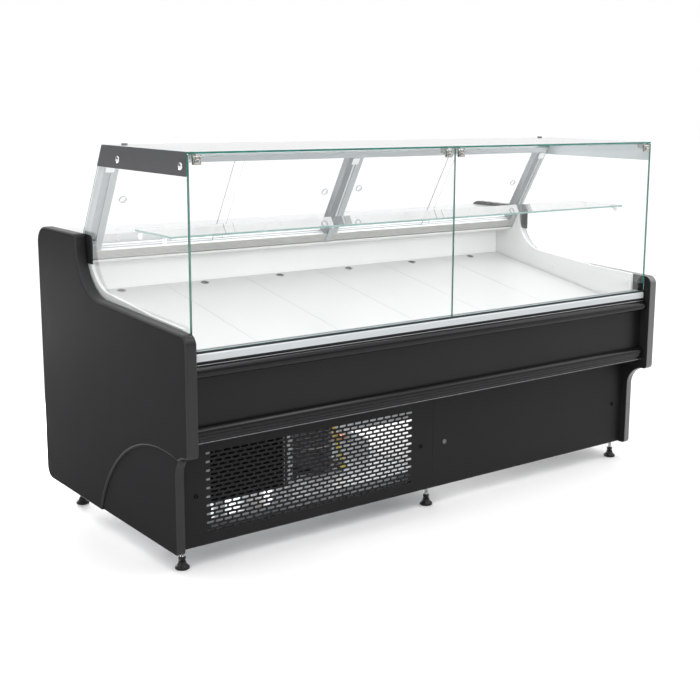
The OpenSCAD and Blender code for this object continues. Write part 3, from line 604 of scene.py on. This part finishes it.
def end_panels():
    whole = finely(end_outline())
    outer = split_outline(whole, ARCH_RADIUS, True)
    field = split_outline(whole, FIELD_RADIUS, False)
    shadow_line_arc = arch_arc(atan2(152, 431), atan2(451, -71), SHADOW_LINE_RADIUS)
    for name, side in SIDES:
        s = Shape()
        put = (lambda a, u, v, k=side: at(k * a, u, v))
        s.prism(outer, 964, 1000, put, (3, 8), 5)
        s.prism(field, 964, 992, put, (3, 6), 4)
        s.box(sorted((side * 957, side * 965)), (100, 820), (440, 590), 2)
        # A black tube half sunk along the arch: a painted shadow line in the step between the outer panel and
        # the field.
        s.tube([at(side * 992.2, y, z) for y, z in shadow_line_arc], 1.9, 8, 3)
        # Rims carry painted highlight: the left panel's take a charcoal with lightened edges, the right panel's
        # a lighter, glossier copy.
        mats = ["abs", "abs_edge_painted_highlight" if side < 0 else "abs_right_rim_painted_highlight", "plate_in", "screw"]
        ob = piece("end_panel_" + name, s, mats, [name + "_end_panel"], smooth=50)
        for f in ob.data.polygons:
            c, rim = f.center, abs(f.normal.x) < 0.97
            # painted light: on the right panel only, the rim faces in the bend take the pale grey plate finish,
            # where the left panel's stay charcoal
            pale_bend_painted_light = side > 0 and c.x < 0.993 and f.normal.y < -0.05 and 0.12 < c.y < 0.222 and c.z > 0.735
            if f.material_index != 3:
                f.material_index = 2 if rim and pale_bend_painted_light else 1 if rim else 0


end_panels()

# ---- body
for side_name, _ in SIDES:
    carry(side_name + "_end_liner", "liner", 0.0012)
carry("base_frame", "galvanised", 0.0015)
carry("insulated_tub", "foam", 0.0015)
carry("inner_tank", "tank", 0.0006)
carry("machine_tray", "zinc", 0.0006)
carry("evaporator", "raw", 0.0)
carry("drain", "plate_in", 0.0008)

X_IN = (-963, 963)  # between the end panels
X_SILL = (-956, 956)


def front_trim():
    s = Shape()
    s.along_x(fillet([(26, 650, 1), (26, 671, 2), (31, 678, 3), (62, 678, 3), (84, 668, 2), (84, 640, 1),
                      (48, 640, 1), (48, 650, 1)], 4), X_SILL, (0.6, 0.6), 2, 0)
    s.along_x(rect((25.6, 27.4), (650, 653), 0.4), X_SILL, mat=1)
    s.along_x(fillet([(28.6, 675.5, 0.4), (39.4, 675.5, 0.4), (39.4, 680.7, 1.0), (28.6, 680.7, 1.0)], 3),
              X_SILL, mat=1)
    s.along_x(rect((36, 48), (641, 650.5), 0.4), X_SILL, mat=1)
    s.along_x(fillet([(60, 677, 0.4), (70, 674.5, 0.6), (70, 680.0, 1.0), (60, 681.0, 1.0)], 3),
              (-950, 950), mat=2)
    piece("sill_profile", s, ["sill", "gasket", "alu_dark"], ["glass_sill"])

    s = Shape()
    s.along_x(fillet([(42, 603, 0.5), (31, 603, 9), (12.5, 610, 16), (12.5, 628, 16), (21, 639, 9),
                      (34, 642, 2), (42, 642, 0.5)], 8), X_IN, (0.4, 0.4), 2)
    # A thin bright metal strip along the top of the bumper: a painted highlight.
    s.along_x(fillet([(30, 641.2, 0.3), (32.4, 641.2, 0.3), (32.4, 642.8, 0.5), (30, 642.8, 0.5)], 2),
              (-958, 958), mat=1)
    piece("bumper_upper", s, ["bumper", "silver"], ["upper_bumper"])

    s = Shape()
    s.box(X_IN, (42, 45), (421, 644), 0.5)
    piece("fascia_panel", s, ["front"], ["front_panel"])

    s = Shape()
    s.along_x(fillet([(42, 461, 0.5), (30, 461, 9), (19, 452, 9), (18.5, 441, 2), (21, 439.5, 0.8),
                      (20, 437, 1), (21, 431, 1), (23, 430, 0.8), (22.5, 426, 1), (24, 421, 1),
                      (24, 413, 1.5), (119, 413, 0.5), (119, 415, 0.5), (42, 415, 0.5)], 4), X_IN, (0.4, 0.4), 2)
    # A thin grey metal strip along the lip's front: a painted highlight on the lip's edge.
    s.along_x(fillet([(22.9, 415.6, 0.2), (24.6, 415.6, 0.2), (24.6, 416.8, 0.3), (22.9, 416.8, 0.4)], 3),
              (-958, 958), mat=1)
    piece("bumper_lower", s, ["bumper", "trim"], ["lower_bumper"])


front_trim()


# ---- plinth panels
def capsule(u, v, w, h, n=5):
    """A slot with round ends."""
    r = h / 2
    k = w / 2 - r
    turns = [pi * (i / n - 0.5) for i in range(n + 1)]
    return [(u + side * (k + r * cos(t)), v + side * r * sin(t)) for side in (1, -1) for t in turns]


KICK_Y, KICK_Z, KICK_THICK = 119, (69, 413), 1.6
SCREW_Z = 225
SLOT_ROWS, SLOT_COLS = 19, 26
SLOTS_X, SLOTS_Z = (-880, -90), (102, 358)
SLOT_FILL = (0.83, 0.53)  # a slot's length and height, as parts of the pitch


def grille():
    """Slots laid like bricks: every other row is half a pitch over and one slot shorter."""
    px = (SLOTS_X[1] - SLOTS_X[0]) / SLOT_COLS
    pz = (SLOTS_Z[1] - SLOTS_Z[0]) / SLOT_ROWS
    return [capsule(SLOTS_X[0] + (col + 0.5 + row % 2 / 2) * px, SLOTS_Z[0] + (row + 0.5) * pz,
                    px * SLOT_FILL[0], pz * SLOT_FILL[1])
            for row in range(SLOT_ROWS) for col in range(SLOT_COLS - row % 2)]


def kick_panels():
    for name, x, screws, slots in (("vented", (-963, -0.5), (-911, -52), grille()),
                                   ("plain", (0.5, 963), (52, 911), [])):
        s = Shape()
        s.plate([rect(x, KICK_Z, 1)] + [circle(screw, SCREW_Z, 4.5) for screw in screws] + slots, KICK_THICK,
                lambda u, v, w: at(u, KICK_Y + KICK_THICK - w, v))
        for z in ((69, 70.5), (411.5, 413)):
            s.box(x, (120.4, 129), z, 0.4)
        piece("kick_plate_" + name, s, ["kick"], ["kick_panel_" + name])

    s = Shape()
    for x, mat in ((-911, 0), (-52, 0), (911, 0), (52, 1)):
        r = 8.5 if mat else 8
        s.lathe([(0, 0.5), (r - 4.8, 0.5), (r - 4.2, 2.4), (r - 2, 2.8), (r - 0.5, 2.0), (r, 0.6), (r, 0),
                 (3.8, 0), (3.8, -10), (0, -10)], at(x, KICK_Y, SCREW_Z), (0, -1, 0), 28, mat)
        if mat:
            s.lathe([(0, 1.8), (5, 1.6), (5.6, 0.8), (5.6, 0.2), (0, 0.2)],
                    at(x, KICK_Y, SCREW_Z), (0, -1, 0), 28, 1)
    piece("kick_fasteners", s, ["screw", "capplug"], ["kick_panel_screws"])


kick_panels()


def feet():
    for body, y in (("front_feet", 150), ("rear_feet", 865)):
        s = Shape()
        for x in (-946, 0, 946):
            s.lathe([(0, 0), (20, 0), (22, 1.6), (22, 6.5), (20.5, 8.5), (16, 12), (12, 18), (11, 24),
                     (9, 25.5), (0, 25.5)], at(x, y, 0), (0, 0, 1), 36)
            thread = [(0, 22)]
            for z in range(24, 84, 2):
                thread += [(5.9, z), (5.2, z + 1)]
            s.lathe(thread + [(5.2, 84), (0, 84)], at(x, y, 0), (0, 0, 1), 20, 1)
            s.lathe([(0, 28), (10.2, 28), (11.3, 29), (11.3, 36), (10.2, 37), (0, 37)],
                    at(x, y, 0), (0, 0, 1), 6)
        piece("levelling_" + body, s, ["fixing", "chrome"], [body], body=body)


feet()


# ---- canopy glass
HINGE_Y, HINGE_Z = 34, 1222
CLAMPS = (26, 935)  # from the middle of the case


def canopy_glass():
    def lean_at(z):
        return 572 + (1238 - z) * tan(LEAN)

    for name, side in SIDES:
        s = Shape()
        loop = fillet([(38, 705, 2), (38, 1210.5, 1), (45, 1212.5, 1), (45, 1231.5, 1),
                       (lean_at(1231.5), 1231.5, 2), (lean_at(905), 905, 4), (726, 875, 4), (700, 815, 20),
                       (640, 760, 40), (555, 735, 20)], 5)
        s.along_x(loop, sorted((side * 957, side * 963)), (0.6, 0.6), 2, 0, 1)
        piece("side_glass_" + name, s, ["glass", "edge"], [name + "_side_glass"], smooth=30)

    s = Shape()
    s.prism(rect(X_IN, (31, 575), 2, 3), 1232, 1238, lambda a, u, v: at(u, v, a), (0.6, 0.6), 2, 0, 1)
    piece("canopy_top_glass", s, ["glass", "edge"], ["top_glass"], smooth=30)

    for name, side in SIDES:
        s = Shape()
        hi, low = 1230.5, 681
        notch = []
        for c in CLAMPS:
            notch += [(c - 13, hi, 1.5), (c - 13, 1212, 1), (c + 13, 1212, 1), (c + 13, hi, 1.5)]
        loop = fillet([(1.5, hi, 1.5)] + notch + [(962, hi, 1.5), (962, low, 2), (1.5, low, 2)], 3)
        loop = [(side * u, v) for u, v in loop]
        s.prism(loop, 31, 37, lambda a, u, v: at(u, a, v), (0.6, 0.6), 2, 0, 1)
        piece("front_pane_" + name, s, ["glass", "edge"], [name + "_front_glass"],
              body=name + "_pane", smooth=30)

        s = Shape()
        for c in CLAMPS:
            x = side * c
            for y0, y1 in ((27.5, 31), (37, 40.5)):
                s.box((x - 12.5, x + 12.5), (y0, y1), (1202, 1212), 1.6)
            for ear in (-1, 1):
                e = sorted((x + ear * 12.5, x + ear * 6.5))
                s.box(e, (28.2, 39.8), (1211, 1222), 1.2)
                s.lathe(disc_profile(6, 0, 6, 0.8), at(e[0], HINGE_Y, HINGE_Z), (1, 0, 0), 24)
            s.lathe([(0, 0), (2.5, 0), (2.5, 25), (0, 25)], at(x - 12.5, HINGE_Y, HINGE_Z), (1, 0, 0), 16)
            s.lathe([(0, 0), (7.4, 0), (8, 0.6), (8, 1.2), (6.8, 2.4), (3.5, 3.0), (0, 3.0)],
                    at(x, 27.5, 1211), (0, -1, 0), 32)
        piece("pane_clamps_" + name, s, ["nickel"], [name + "_glass_clamps"],
              body=name + "_pane")

    s = Shape()
    for x in (-935, -26, 26, 935):
        s.lathe(ring_profile(2.56, 6, 0, 10, 0.5), at(x - 5, HINGE_Y, HINGE_Z), (1, 0, 0), 26)
        s.box((x - 5, x + 5), (39, 46), (1221, 1227), 0.8)
        s.box((x - 5, x + 5), (44, 72), (1214, 1232), 1.6)
        s.lathe(disc_profile(3.6, 0, 1.2, 0.3), at(x, 58, 1214.2), (0, 0, -1), 20)
    piece("hinge_knuckles", s, ["nickel"], ["hinge_blocks"])

    s = Shape()
    for _, side in SIDES:
        loop = fillet([(38, 1170, 3), (38, 1237, 2), (lean_at(1237), 1237, 2), (lean_at(1170), 1170, 3)], 4)
        s.along_x(loop, sorted((side * 963.5, side * 965.1)), (0.3, 0.4), 2)
        s.along_x(inset(loop, 0.6), sorted((side * 963.1, side * 963.6)), mat=1)
    piece("canopy_gussets", s, ["plate", "plate_in"], ["canopy_end_plates"])

    s = Shape()
    cap = [(0, 8), (5, 7.9), (8.6, 7.3), (10.3, 6.2), (11, 4.6), (11, 0), (0, 0)]
    for _, side in SIDES:
        for y in (62, 453):
            s.lathe(cap, at(side * 965.1, y, 1198), (side, 0, 0), 40)
        s.lathe([(0, 4), (8.4, 4), (9.4, 3.2), (10, 1.4), (10, 0), (0, 0)],
                at(side * 900, 548, 1238), (0, 0, 1), 32, 1)
    piece("canopy_caps", s, ["chrome", "ring"], ["canopy_bolt_caps"])


canopy_glass()


# ---- leaning staff side
def lean_along(s, loop, a, b, mat):
    """loop in (x, n), swept down the lean from a to b."""
    s.prism(loop, a, b, lambda q, u, v: lean(u, v, q), (0.3, 0.3), 2, mat)


def toothed(x, n_front, n_back, teeth, deep):
    """Outline in (x, n) with small grooves on its front."""
    step = (x[1] - x[0]) / teeth
    pts = [(x[0], n_back, 0.4), (x[0], n_front, 0.4)]
    for k in range(teeth):
        u = x[0] + k * step
        if k:
            pts += [(u, n_front, 0), (u + step * 0.18, n_front + deep, 0), (u + step * 0.36, n_front, 0)]
    return pts + [(x[1], n_front, 0.4), (x[1], n_back, 0.4)]


def staff_side():
    s = Shape()
    posts = ((-955, 41, (0, 9), 2, 2), (-26, 52, (5, 5), 0, 1), (914, 41, (9, 0), 0, 1))
    for x0, w, lip, left, slot in posts:
        mid = x0 + w / 2
        b, c = mid - 6, mid + 6
        for u0, u1, n0, n1, r, mat in ((x0, b, -36, 0, 0.6, left), (b, c, -33, -1, 0.5, slot),
                                       (c, x0 + w, -36, 0, 0.6, 2)):
            lean_along(s, fillet([(u0, n0, r), (u0, n1, r), (u1, n1, r), (u1, n0, r)], 2), 50, 380, mat)
        lean_along(s, fillet(toothed((x0 - lip[0], b), -38, -35.8, 6, 0.9), 2), 50, 380, left)
        lean_along(s, fillet(toothed((c, x0 + w + lip[1]), -38, -35.8, 6, 0.5), 2), 50, 380, 2)
        s.lean_box((mid - 13, mid + 13), (-41, -38.4), (340, 412), 0.8, 2)
        s.lean_box((mid - 13, mid + 13), (-39, -35), (340, 376), 0.8, 2)
        s.lathe(disc_profile(4.4, 0, 1.6, 0.4), lean(mid, -41, 352), (0, -cos(LEAN), -sin(LEAN)), 20, 3)
        s.lean_box((mid - 15, mid + 15), (-38.5, -36), (52, 78), 1.0, 1)
    piece("canopy_posts", s, ["alu_dark", "insert", "alu", "chrome"], ["canopy_pillars"])

    s = Shape()
    x = (-955, 955)
    # top rail: an outer wall, a web between the grooves and an inner wall, under one cap
    for n in ((-38, -27.3), (-20.7, -15.3), (-8.7, 0)):
        s.lean_box(x, n, (14, 50), 0.8, 0)
    s.lean_box(x, (-38, 0), (14, 27.5), 1.0, 0)
    s.lean_box((-880, 880), (-40, -38), (20, 24), 0.6, 1)
    s.box(x, (544, 574), (1206, 1231.8), 1.0, 0)
    piece("door_head_rail", s, ["alu", "silver"], ["upper_door_rail"])

    s = Shape()
    for n in ((-37.5, -27.3), (-20.7, -15.3), (-8.7, 0)):
        s.lean_box(x, n, (380, 412), 0.8, 1)
    s.lean_box(x, (-37.5, 0), (394.6, 412), 0.8, 1)
    s.lean_box(x, (-38.0, -36.8), (381, 412), 0.5, 0)
    for k in range(5):
        s.lean_box(x, (-38.15, -37.4), (385.0 + k * 5.2, 386.5 + k * 5.2), 0.3, 2)
    piece("door_sill_track", s, ["alu_warm", "insert", "alu_dark"], ["lower_door_track"])

    s = Shape()
    for _, side in SIDES:
        for back, thick in ((703, 2.6), (738, 0.7)):
            loop = fillet([(668, 856, 2), (back, 856, 1), (back, 949, 1), (668, 949, 22)], 6)
            s.along_x(loop, sorted((side * 963.35, side * (963.15 + thick))), (0.1, 0.1), 1)
            s.along_x(inset(loop, 0.4), sorted((side * 963.15, side * 963.36)), mat=1)
    piece("track_stops", s, ["fixing", "plate_in"], ["track_end_caps"])


staff_side()


DOOR_WIDTH, RING_S = 465, 200


def doors():
    spots = ((-913, -12, -854), (-492, -24, -80), (27, -12, 80), (448, -24, 854))
    for i, (x0, n, hx) in enumerate(spots, 1):
        s = Shape()
        loop = rect((x0, x0 + DOOR_WIDTH), (32, 394), 3, 3)
        s.plate([loop, circle(hx, RING_S, 12, 32)], 5, lambda u, v, w, n=n: lean(u, n - 2.5 + w, v), 0, 1)
        for ring in ((9.5, 12, 0, 6, 0.5), (10, 13.2, 5.4, 6.4, 0.3), (10, 13.2, -0.4, 0.6, 0.3)):
            s.lathe(ring_profile(*ring), lean(hx, n - 3, RING_S), (0, cos(LEAN), sin(LEAN)), 36, 2)
        piece("clear_door_%d" % i, s, ["acrylic", "edge_clear", "pull"], ["sliding_door_%d" % i],
              body="door_%d" % i, smooth=30)


doors()


# ---- shelf and light
def shelf_and_light():
    s = Shape()
    s.prism(rect((-953, 953), (150, 380), 3, 4), 989, 995, lambda a, u, v: at(u, v, a), (0.8, 0.8), 3, 0, 1)
    piece("display_shelf", s, ["glass", "edge_soft"], ["glass_shelf"], smooth=30)

    s = Shape()
    for _, side in SIDES:
        for y in (185, 340):
            s.lathe([(0, 0), (9, 0), (10, 1), (10, 4), (8.4, 6), (0, 6)],
                    at(side * 957, y, 978), (-side, 0, 0), 32, 0)
            s.lathe([(0, 0), (4.5, 0), (4.5, 21), (3.6, 23), (0, 23)],
                    at(side * 956, y, 984.4), (-side, 0, 0), 20, 1)
            s.box(sorted((side * 934, side * 948)), (y - 7, y + 7), (986.4, 988.9), 0.9, 1)
    piece("shelf_pegs", s, ["insert", "chrome"], ["shelf_supports"])

    s = Shape()
    s.along_x(fillet([(512, 1216, 2), (512, 1231.6, 1), (543, 1231.6, 1), (543, 1216, 2)], 4),
              (-880, 880), (1, 1), 2, 0)
    s.along_x(circle(527, 1211, 8, 24), (-870, 870), (2, 2), 3, 1)
    for x in (-868, -300, 300, 868):
        s.box((x - 6, x + 6), (517, 537), (1205, 1218), 1.4, 2)
    piece("lamp_strip", s, ["alu", "diffuser", "insert"], ["canopy_light"])


shelf_and_light()


# ---- deck plates
def deck_plates():
    rise = 0.172
    slope = atan(rise)
    half, y0, y1 = 942.2, 86.5, 832
    gap, off = 1.5, -16  # between plates; from a plate's middle to its finger hole
    pitch = 2 * half / 6
    length = (y1 - y0) / cos(slope)
    hole = (806 - y0) / cos(slope)
    for i in range(6):
        x0 = -half + i * pitch + gap / 2
        w = pitch - gap

        def put(u, v, t, x0=x0):
            y = y0 + v * cos(slope) - t * sin(slope)
            z = 600 + rise * y0 + v * sin(slope) + t * cos(slope)
            return at(x0 + u, y, z)

        s = Shape()
        s.plate([rect((0, w), (0, length), 2, 4), circle(w / 2 + off, hole, 13, 32)], 2,
                lambda u, v, t: put(u, v, t - 2.0))
        for a, b in (((0, 2), (2, length - 2)), ((w - 2, w), (2, length - 2)), ((2, w - 2), (0, 2)),
                     ((2, w - 2), (length - 2, length))):
            s.prism(rect(a, b, 0.6), -16, -1.9, lambda q, u, v: put(u, v, q), (0.5, 0), 2)
        for ring in ((10.5, 15.5, 0, 1.2, 0.5), (10.5, 13, -2.4, 0.2, 0.2)):
            s.lathe(ring_profile(*ring), put(w / 2 + off, hole, 0), (0, -sin(slope), cos(slope)), 36, 1)
        n = str(i + 1)
        piece("deck_tray_" + n, s, ["white", "ring"], ["deck_plate_" + n],
              body="deck_" + n, smooth=30)


deck_plates()

# ---- staff side furniture
carry("worktop", "stainless", 0.0007)
carry("rear_panel", "grey", 0.0005)
carry("cable_gland", "fixing", 0.0008)

DIAL, ROCKERS = -45, (30, 70)  # places along x
HEIGHT = 800


def controls():
    s = Shape()
    put = (lambda u, v, w: at(u, 1012 + w, v))
    holes = [rect((x - 10.2, x + 10.2), (784.8, 815.2), 1) for x in ROCKERS]
    s.plate([rect((-110, 110), (754, 846), 6, 6)] + holes + [circle(DIAL, HEIGHT, 4.3, 24)], 6, put)
    for x in ROCKERS:
        for z in (780, 820):
            s.box((x - 12.5, x + 12.5), (1018, 1019.2), (z - 1.2, z + 1.2), 0.5, 0)
    for k in range(11):
        t = radians(240 - 30 * k)
        a, b = 21.5, 25.5 if k % 5 else 28
        s.tube([at(DIAL + r * cos(t), 1018.1, HEIGHT + r * sin(t)) for r in (a, b)], 0.5, 6, 1)
    s.lathe([(0, 0), (2, 0), (2.6, 0.5), (2.6, 1.2), (0, 1.6)], at(-8, 1018, HEIGHT), (0, 1, 0), 18, 2)
    piece("control_fascia", s, ["fixing", "mark", "diffuser"], ["control_panel"])

    s = Shape()
    s.lathe([(0, -26), (4, -26), (4, 0), (0, 0)], at(DIAL, 1018.5, HEIGHT), (0, 1, 0), 20, 0)
    flutes = 24
    smooth, notched = (circle(DIAL, HEIGHT, r, flutes * 3) for r in (19, 18.2))
    loop = [b if k % 3 == 0 else a for k, (a, b) in enumerate(zip(smooth, notched))]
    s.prism(loop, 1018.5, 1032, lambda a, u, v: at(u, a, v), (0.4, 1.6), 3, 0)
    s.box((-46.2, -43.8), (1031.4, 1033.2), (801, 817), 0.7, 1)
    piece("dial_knob", s, ["dial", "mark"], ["thermostat_dial"], body="thermostat_dial")

    tip = radians(7)
    for node, x in zip(("power_switch", "light_switch"), ROCKERS):
        s = Shape()

        def put(a, u, v, x=x):
            y, z = u * cos(tip) - v * sin(tip), u * sin(tip) + v * cos(tip)
            return at(x + a, 1013 + y, HEIGHT + z)

        face = fillet([(-7, -14, 1), (5, -14, 2), (3.6, 0, 14), (5, 14, 2), (-7, 14, 1)], 5)
        s.prism(face, -9.5, 9.5, put, (0.8, 0.8), 3)
        s.lathe([(0, 0), (2.5, 0), (2.5, 19.8), (0, 19.8)], at(x - 9.9, 1013, HEIGHT), (1, 0, 0), 18)
        s.prism(rect((3.6, 5.0), (7, 8.6), 0.2), -3, 3, put, (0.2, 0.2), 1, 1)
        piece("rocker_" + node, s, ["fixing", "mark"], [node], body=node)


controls()


# ---- condensing unit
def machinery():
    s = Shape()
    base = at(-313, 430, 112)
    s.lathe([(0, 20), (60, 20), (84, 24), (92, 36), (92, 92), (95, 94), (96, 97), (96, 101), (92, 104),
             (92, 142), (86, 168), (70, 190), (46, 200), (20, 204), (0, 204.5)], base, (0, 0, 1), 56)
    for x in (-411, -215):
        for y in (362, 498):
            s.lathe([(0, 0), (12, 0), (13, 2), (11, 7), (13, 12), (11, 16), (0, 16)],
                    at(x, y, 112), (0, 0, 1), 24, 1)
    s.box((-428, -198), (345, 515), (128, 134), 2.5)
    s.box((-348, -278), (505, 540), (172, 242), 4)
    piece("compressor_shell", s, ["black", "fixing"], ["compressor"], smooth=45)

    s = Shape()
    x0, x1, y0, y1, z0, z1 = -868, -572, 165, 237, 176, 380
    for x, flange in ((x0, (x0, x0 + 30)), (x1 - 2, (x1 + 10, x1 + 30))):
        s.box((x, x + 2), (y0, y1), (112, z1), 0.5, 3)
        s.box(flange, (y0, y0 + 1.6), (112, z1), 0.5, 3)
    s.box((x1 - 2, x1 + 11), (y0 + 1.2, y0 + 2.4), (176, z1), 0.4, 0)
    s.box((x0, x1), (y0, y1), (z1 - 2, z1), 0.5, 0)
    s.box((x0, x1), (y0, y1), (z0, z0 + 2), 0.5, 0)
    fins = 74
    for k in range(fins):
        x = x0 + 4 + k * (x1 - x0 - 8) / (fins - 1)
        s.box((x - 0.25, x + 0.25), (y0 + 5, y1 - 5), (z0 + 2, z1 - 2), 0.1, 1, 1)
    pitch, columns = 24.6, (y0 + 18, y0 + 54)
    heights = [z0 + 16 + row * pitch for row in range(8)]
    for z in heights:
        for y in columns:
            s.tube([at(x0 - 6, y, z), at(x1 + 6, y, z)], 4.6, 12, 2)
    for row, z in enumerate(heights[:-1]):
        for y in columns:
            side, bow = (x0 - 6, -4) if row % 2 else (x1 + 6, 4)
            bend = ((0, 0), (bow, 2), (bow, pitch - 2), (0, pitch))
            s.tube([at(side + out, y, z + up) for out, up in bend], 4.6, 12, 2, 8)
    piece("condenser_coil", s, ["black", "fin", "copper", "zinc"], ["condenser"])

    carry("fan_shroud", "zinc", 0.0008)
    carry("condenser_fan", "raw", 0.0004)
    s = Shape()
    s.lathe([(0, 0), (36, 0), (42, 5), (42, 100), (42.8, 101), (42.8, 106), (42, 107), (42, 205), (38, 216),
             (20, 224), (0, 224)], at(-480, 520, 112), (0, 0, 1), 40)
    piece("liquid_receiver", s, ["black"], ["receiver"])

    s = Shape()
    runs = (
        ([(-562, 183, 351), (-545, 183, 351), (-545, 520, 351), (-480, 520, 351), (-480, 520, 334)], 5),
        ([(-562, 219, 204), (-535, 219, 204), (-535, 430, 204), (-405, 430, 204)], 5),
        ([(-480, 562, 200), (-480, 600, 200), (-455, 600, 200), (-455, 600, 544)], 5),
        ([(-221, 430, 200), (-140, 430, 200), (-140, 600, 200), (-140, 600, 544)], 7),
    )
    for points, r in runs:
        s.tube([at(*p) for p in points], r, 16, 0, 16)
    piece("copper_lines", s, ["copper"], ["refrigerant_pipes"])

    s = Shape()
    s.tube([at(-418, 150, 415), at(-350, 150, 200), at(-346, 176, 199.4)], 5.4, 14, 0, 14)
    s.tube([at(-346.6, 172, 199.4), at(-325.1, 338.2, 200)], 4.0, 14, 1)
    piece("earth_lead_wire", s, ["lead", "fixing"], ["earth_wire"])


machinery()


# ---- stage and light
ROOM = 0.26  # the background's own brightness


def make_stage():
    t = Nodes("studio_floor")
    color = t.ramp(t.noise(1.3, detail=3), (0.88, 0.88, 0.88), (0.90, 0.90, 0.90))
    bsdf = t.new("BsdfPrincipled", {"Base Color": color, "Roughness": 0.6, "Specular IOR Level": 0.1})
    bm = bmesh.new()
    bmesh.ops.create_grid(bm, x_segments=2, y_segments=2, size=30)
    me = bpy.data.meshes.new("floor")
    bm.to_mesh(me)
    bm.free()
    me.materials.append(t.finish(bsdf))
    floor = bpy.data.objects.new("floor", me)
    floor.location.z = -0.0005
    SCENE.collection.objects.link(floor)

    world = bpy.data.worlds.new("studio")
    world.use_nodes = True
    tree = world.node_tree

    way = add_node(tree, "TexCoord").outputs["Generated"]

    def toward(aim, start, end, top):
        """Rises smoothly to top for directions within reach of aim."""
        dot = add_node(tree, "VectorMath", {0: way, 1: Vector(aim).normalized()},
                       operation="DOT_PRODUCT").outputs["Value"]
        return add_node(tree, "MapRange", {0: dot, 1: start, 2: end, 3: 0.0, 4: top},
                        interpolation_type="SMOOTHSTEP").outputs[0]

    parts = [toward((0.62, 0.78, 0), 0.55, 0.84, 1.0 - ROOM), toward((0, 0, 1), 0.22, 0.62, 1.45 - ROOM),
             toward((0.97, -0.22, 0.10), 0.66, 0.97, 1.1 - ROOM)]
    most = parts[0]
    for part in parts[1:]:
        most = add_node(tree, "Math", {0: most, 1: part}, operation="MAXIMUM").outputs[0]
    level = add_node(tree, "Math", {0: most, 1: ROOM}, operation="ADD").outputs[0]
    back = tree.nodes["Background"]
    back.inputs["Color"].default_value = (1, 1, 1, 1)
    tree.links.new(level, back.inputs["Strength"])
    SCENE.world = world
    SCENE.view_settings.view_transform = "Standard"

    def lamp(name, place, aim, size, power):
        data = bpy.data.lights.new(name, "AREA")
        data.shape, data.size, data.size_y, data.energy = "RECTANGLE", size[0], size[1], power
        ob = bpy.data.objects.new(name, data)
        ob.location = place
        ob.rotation_mode = "QUATERNION"
        ob.rotation_quaternion = (Vector(aim) - Vector(place)).to_track_quat("-Z", "Y")
        SCENE.collection.objects.link(ob)
        return ob

    lamp("key", (-1.6, -2.4, 4.0), (0, 0, 0.4), (3.6, 3.6), 30)
    lamp("fill", (3.4, -1.6, 2.4), (0.4, 0, 0.5), (2.6, 2.6), 22)
    lamp("strip", (1.3, -0.9, 3.3), (0.1, 0, 0.4), (4.4, 0.5), 30)
    lamp("front", (-3.2, -0.75, 1.3), (-1, 0, 0.7), (1.4, 1.0), 12)
    bay = lamp("bay", (-0.3, 1.7, 0.42), (-0.35, 0.2, 0.06), (2.4, 0.5), 52)
    shaded = bpy.data.collections.new("shaded_from_bay")
    for node in ("rear_panel", "worktop"):
        shaded.objects.link(NODES[node])
    for link in shaded.collection_objects:
        link.light_linking.link_state = "EXCLUDE"
    bay.light_linking.receiver_collection = shaded
    tank = lamp("tank", (-0.3, -1.9, 1.5), (0, 0.1, 0.8), (2.4, 0.5), 22)
    lined = bpy.data.collections.new("lit_by_tank")
    lined.objects.link(NODES["inner_tank"])
    tank.light_linking.receiver_collection = lined
    lamp("plinth", (-0.48, -0.20, 0.402), (-0.48, -0.19, 0), (0.84, 0.26), 2.2)


make_stage()
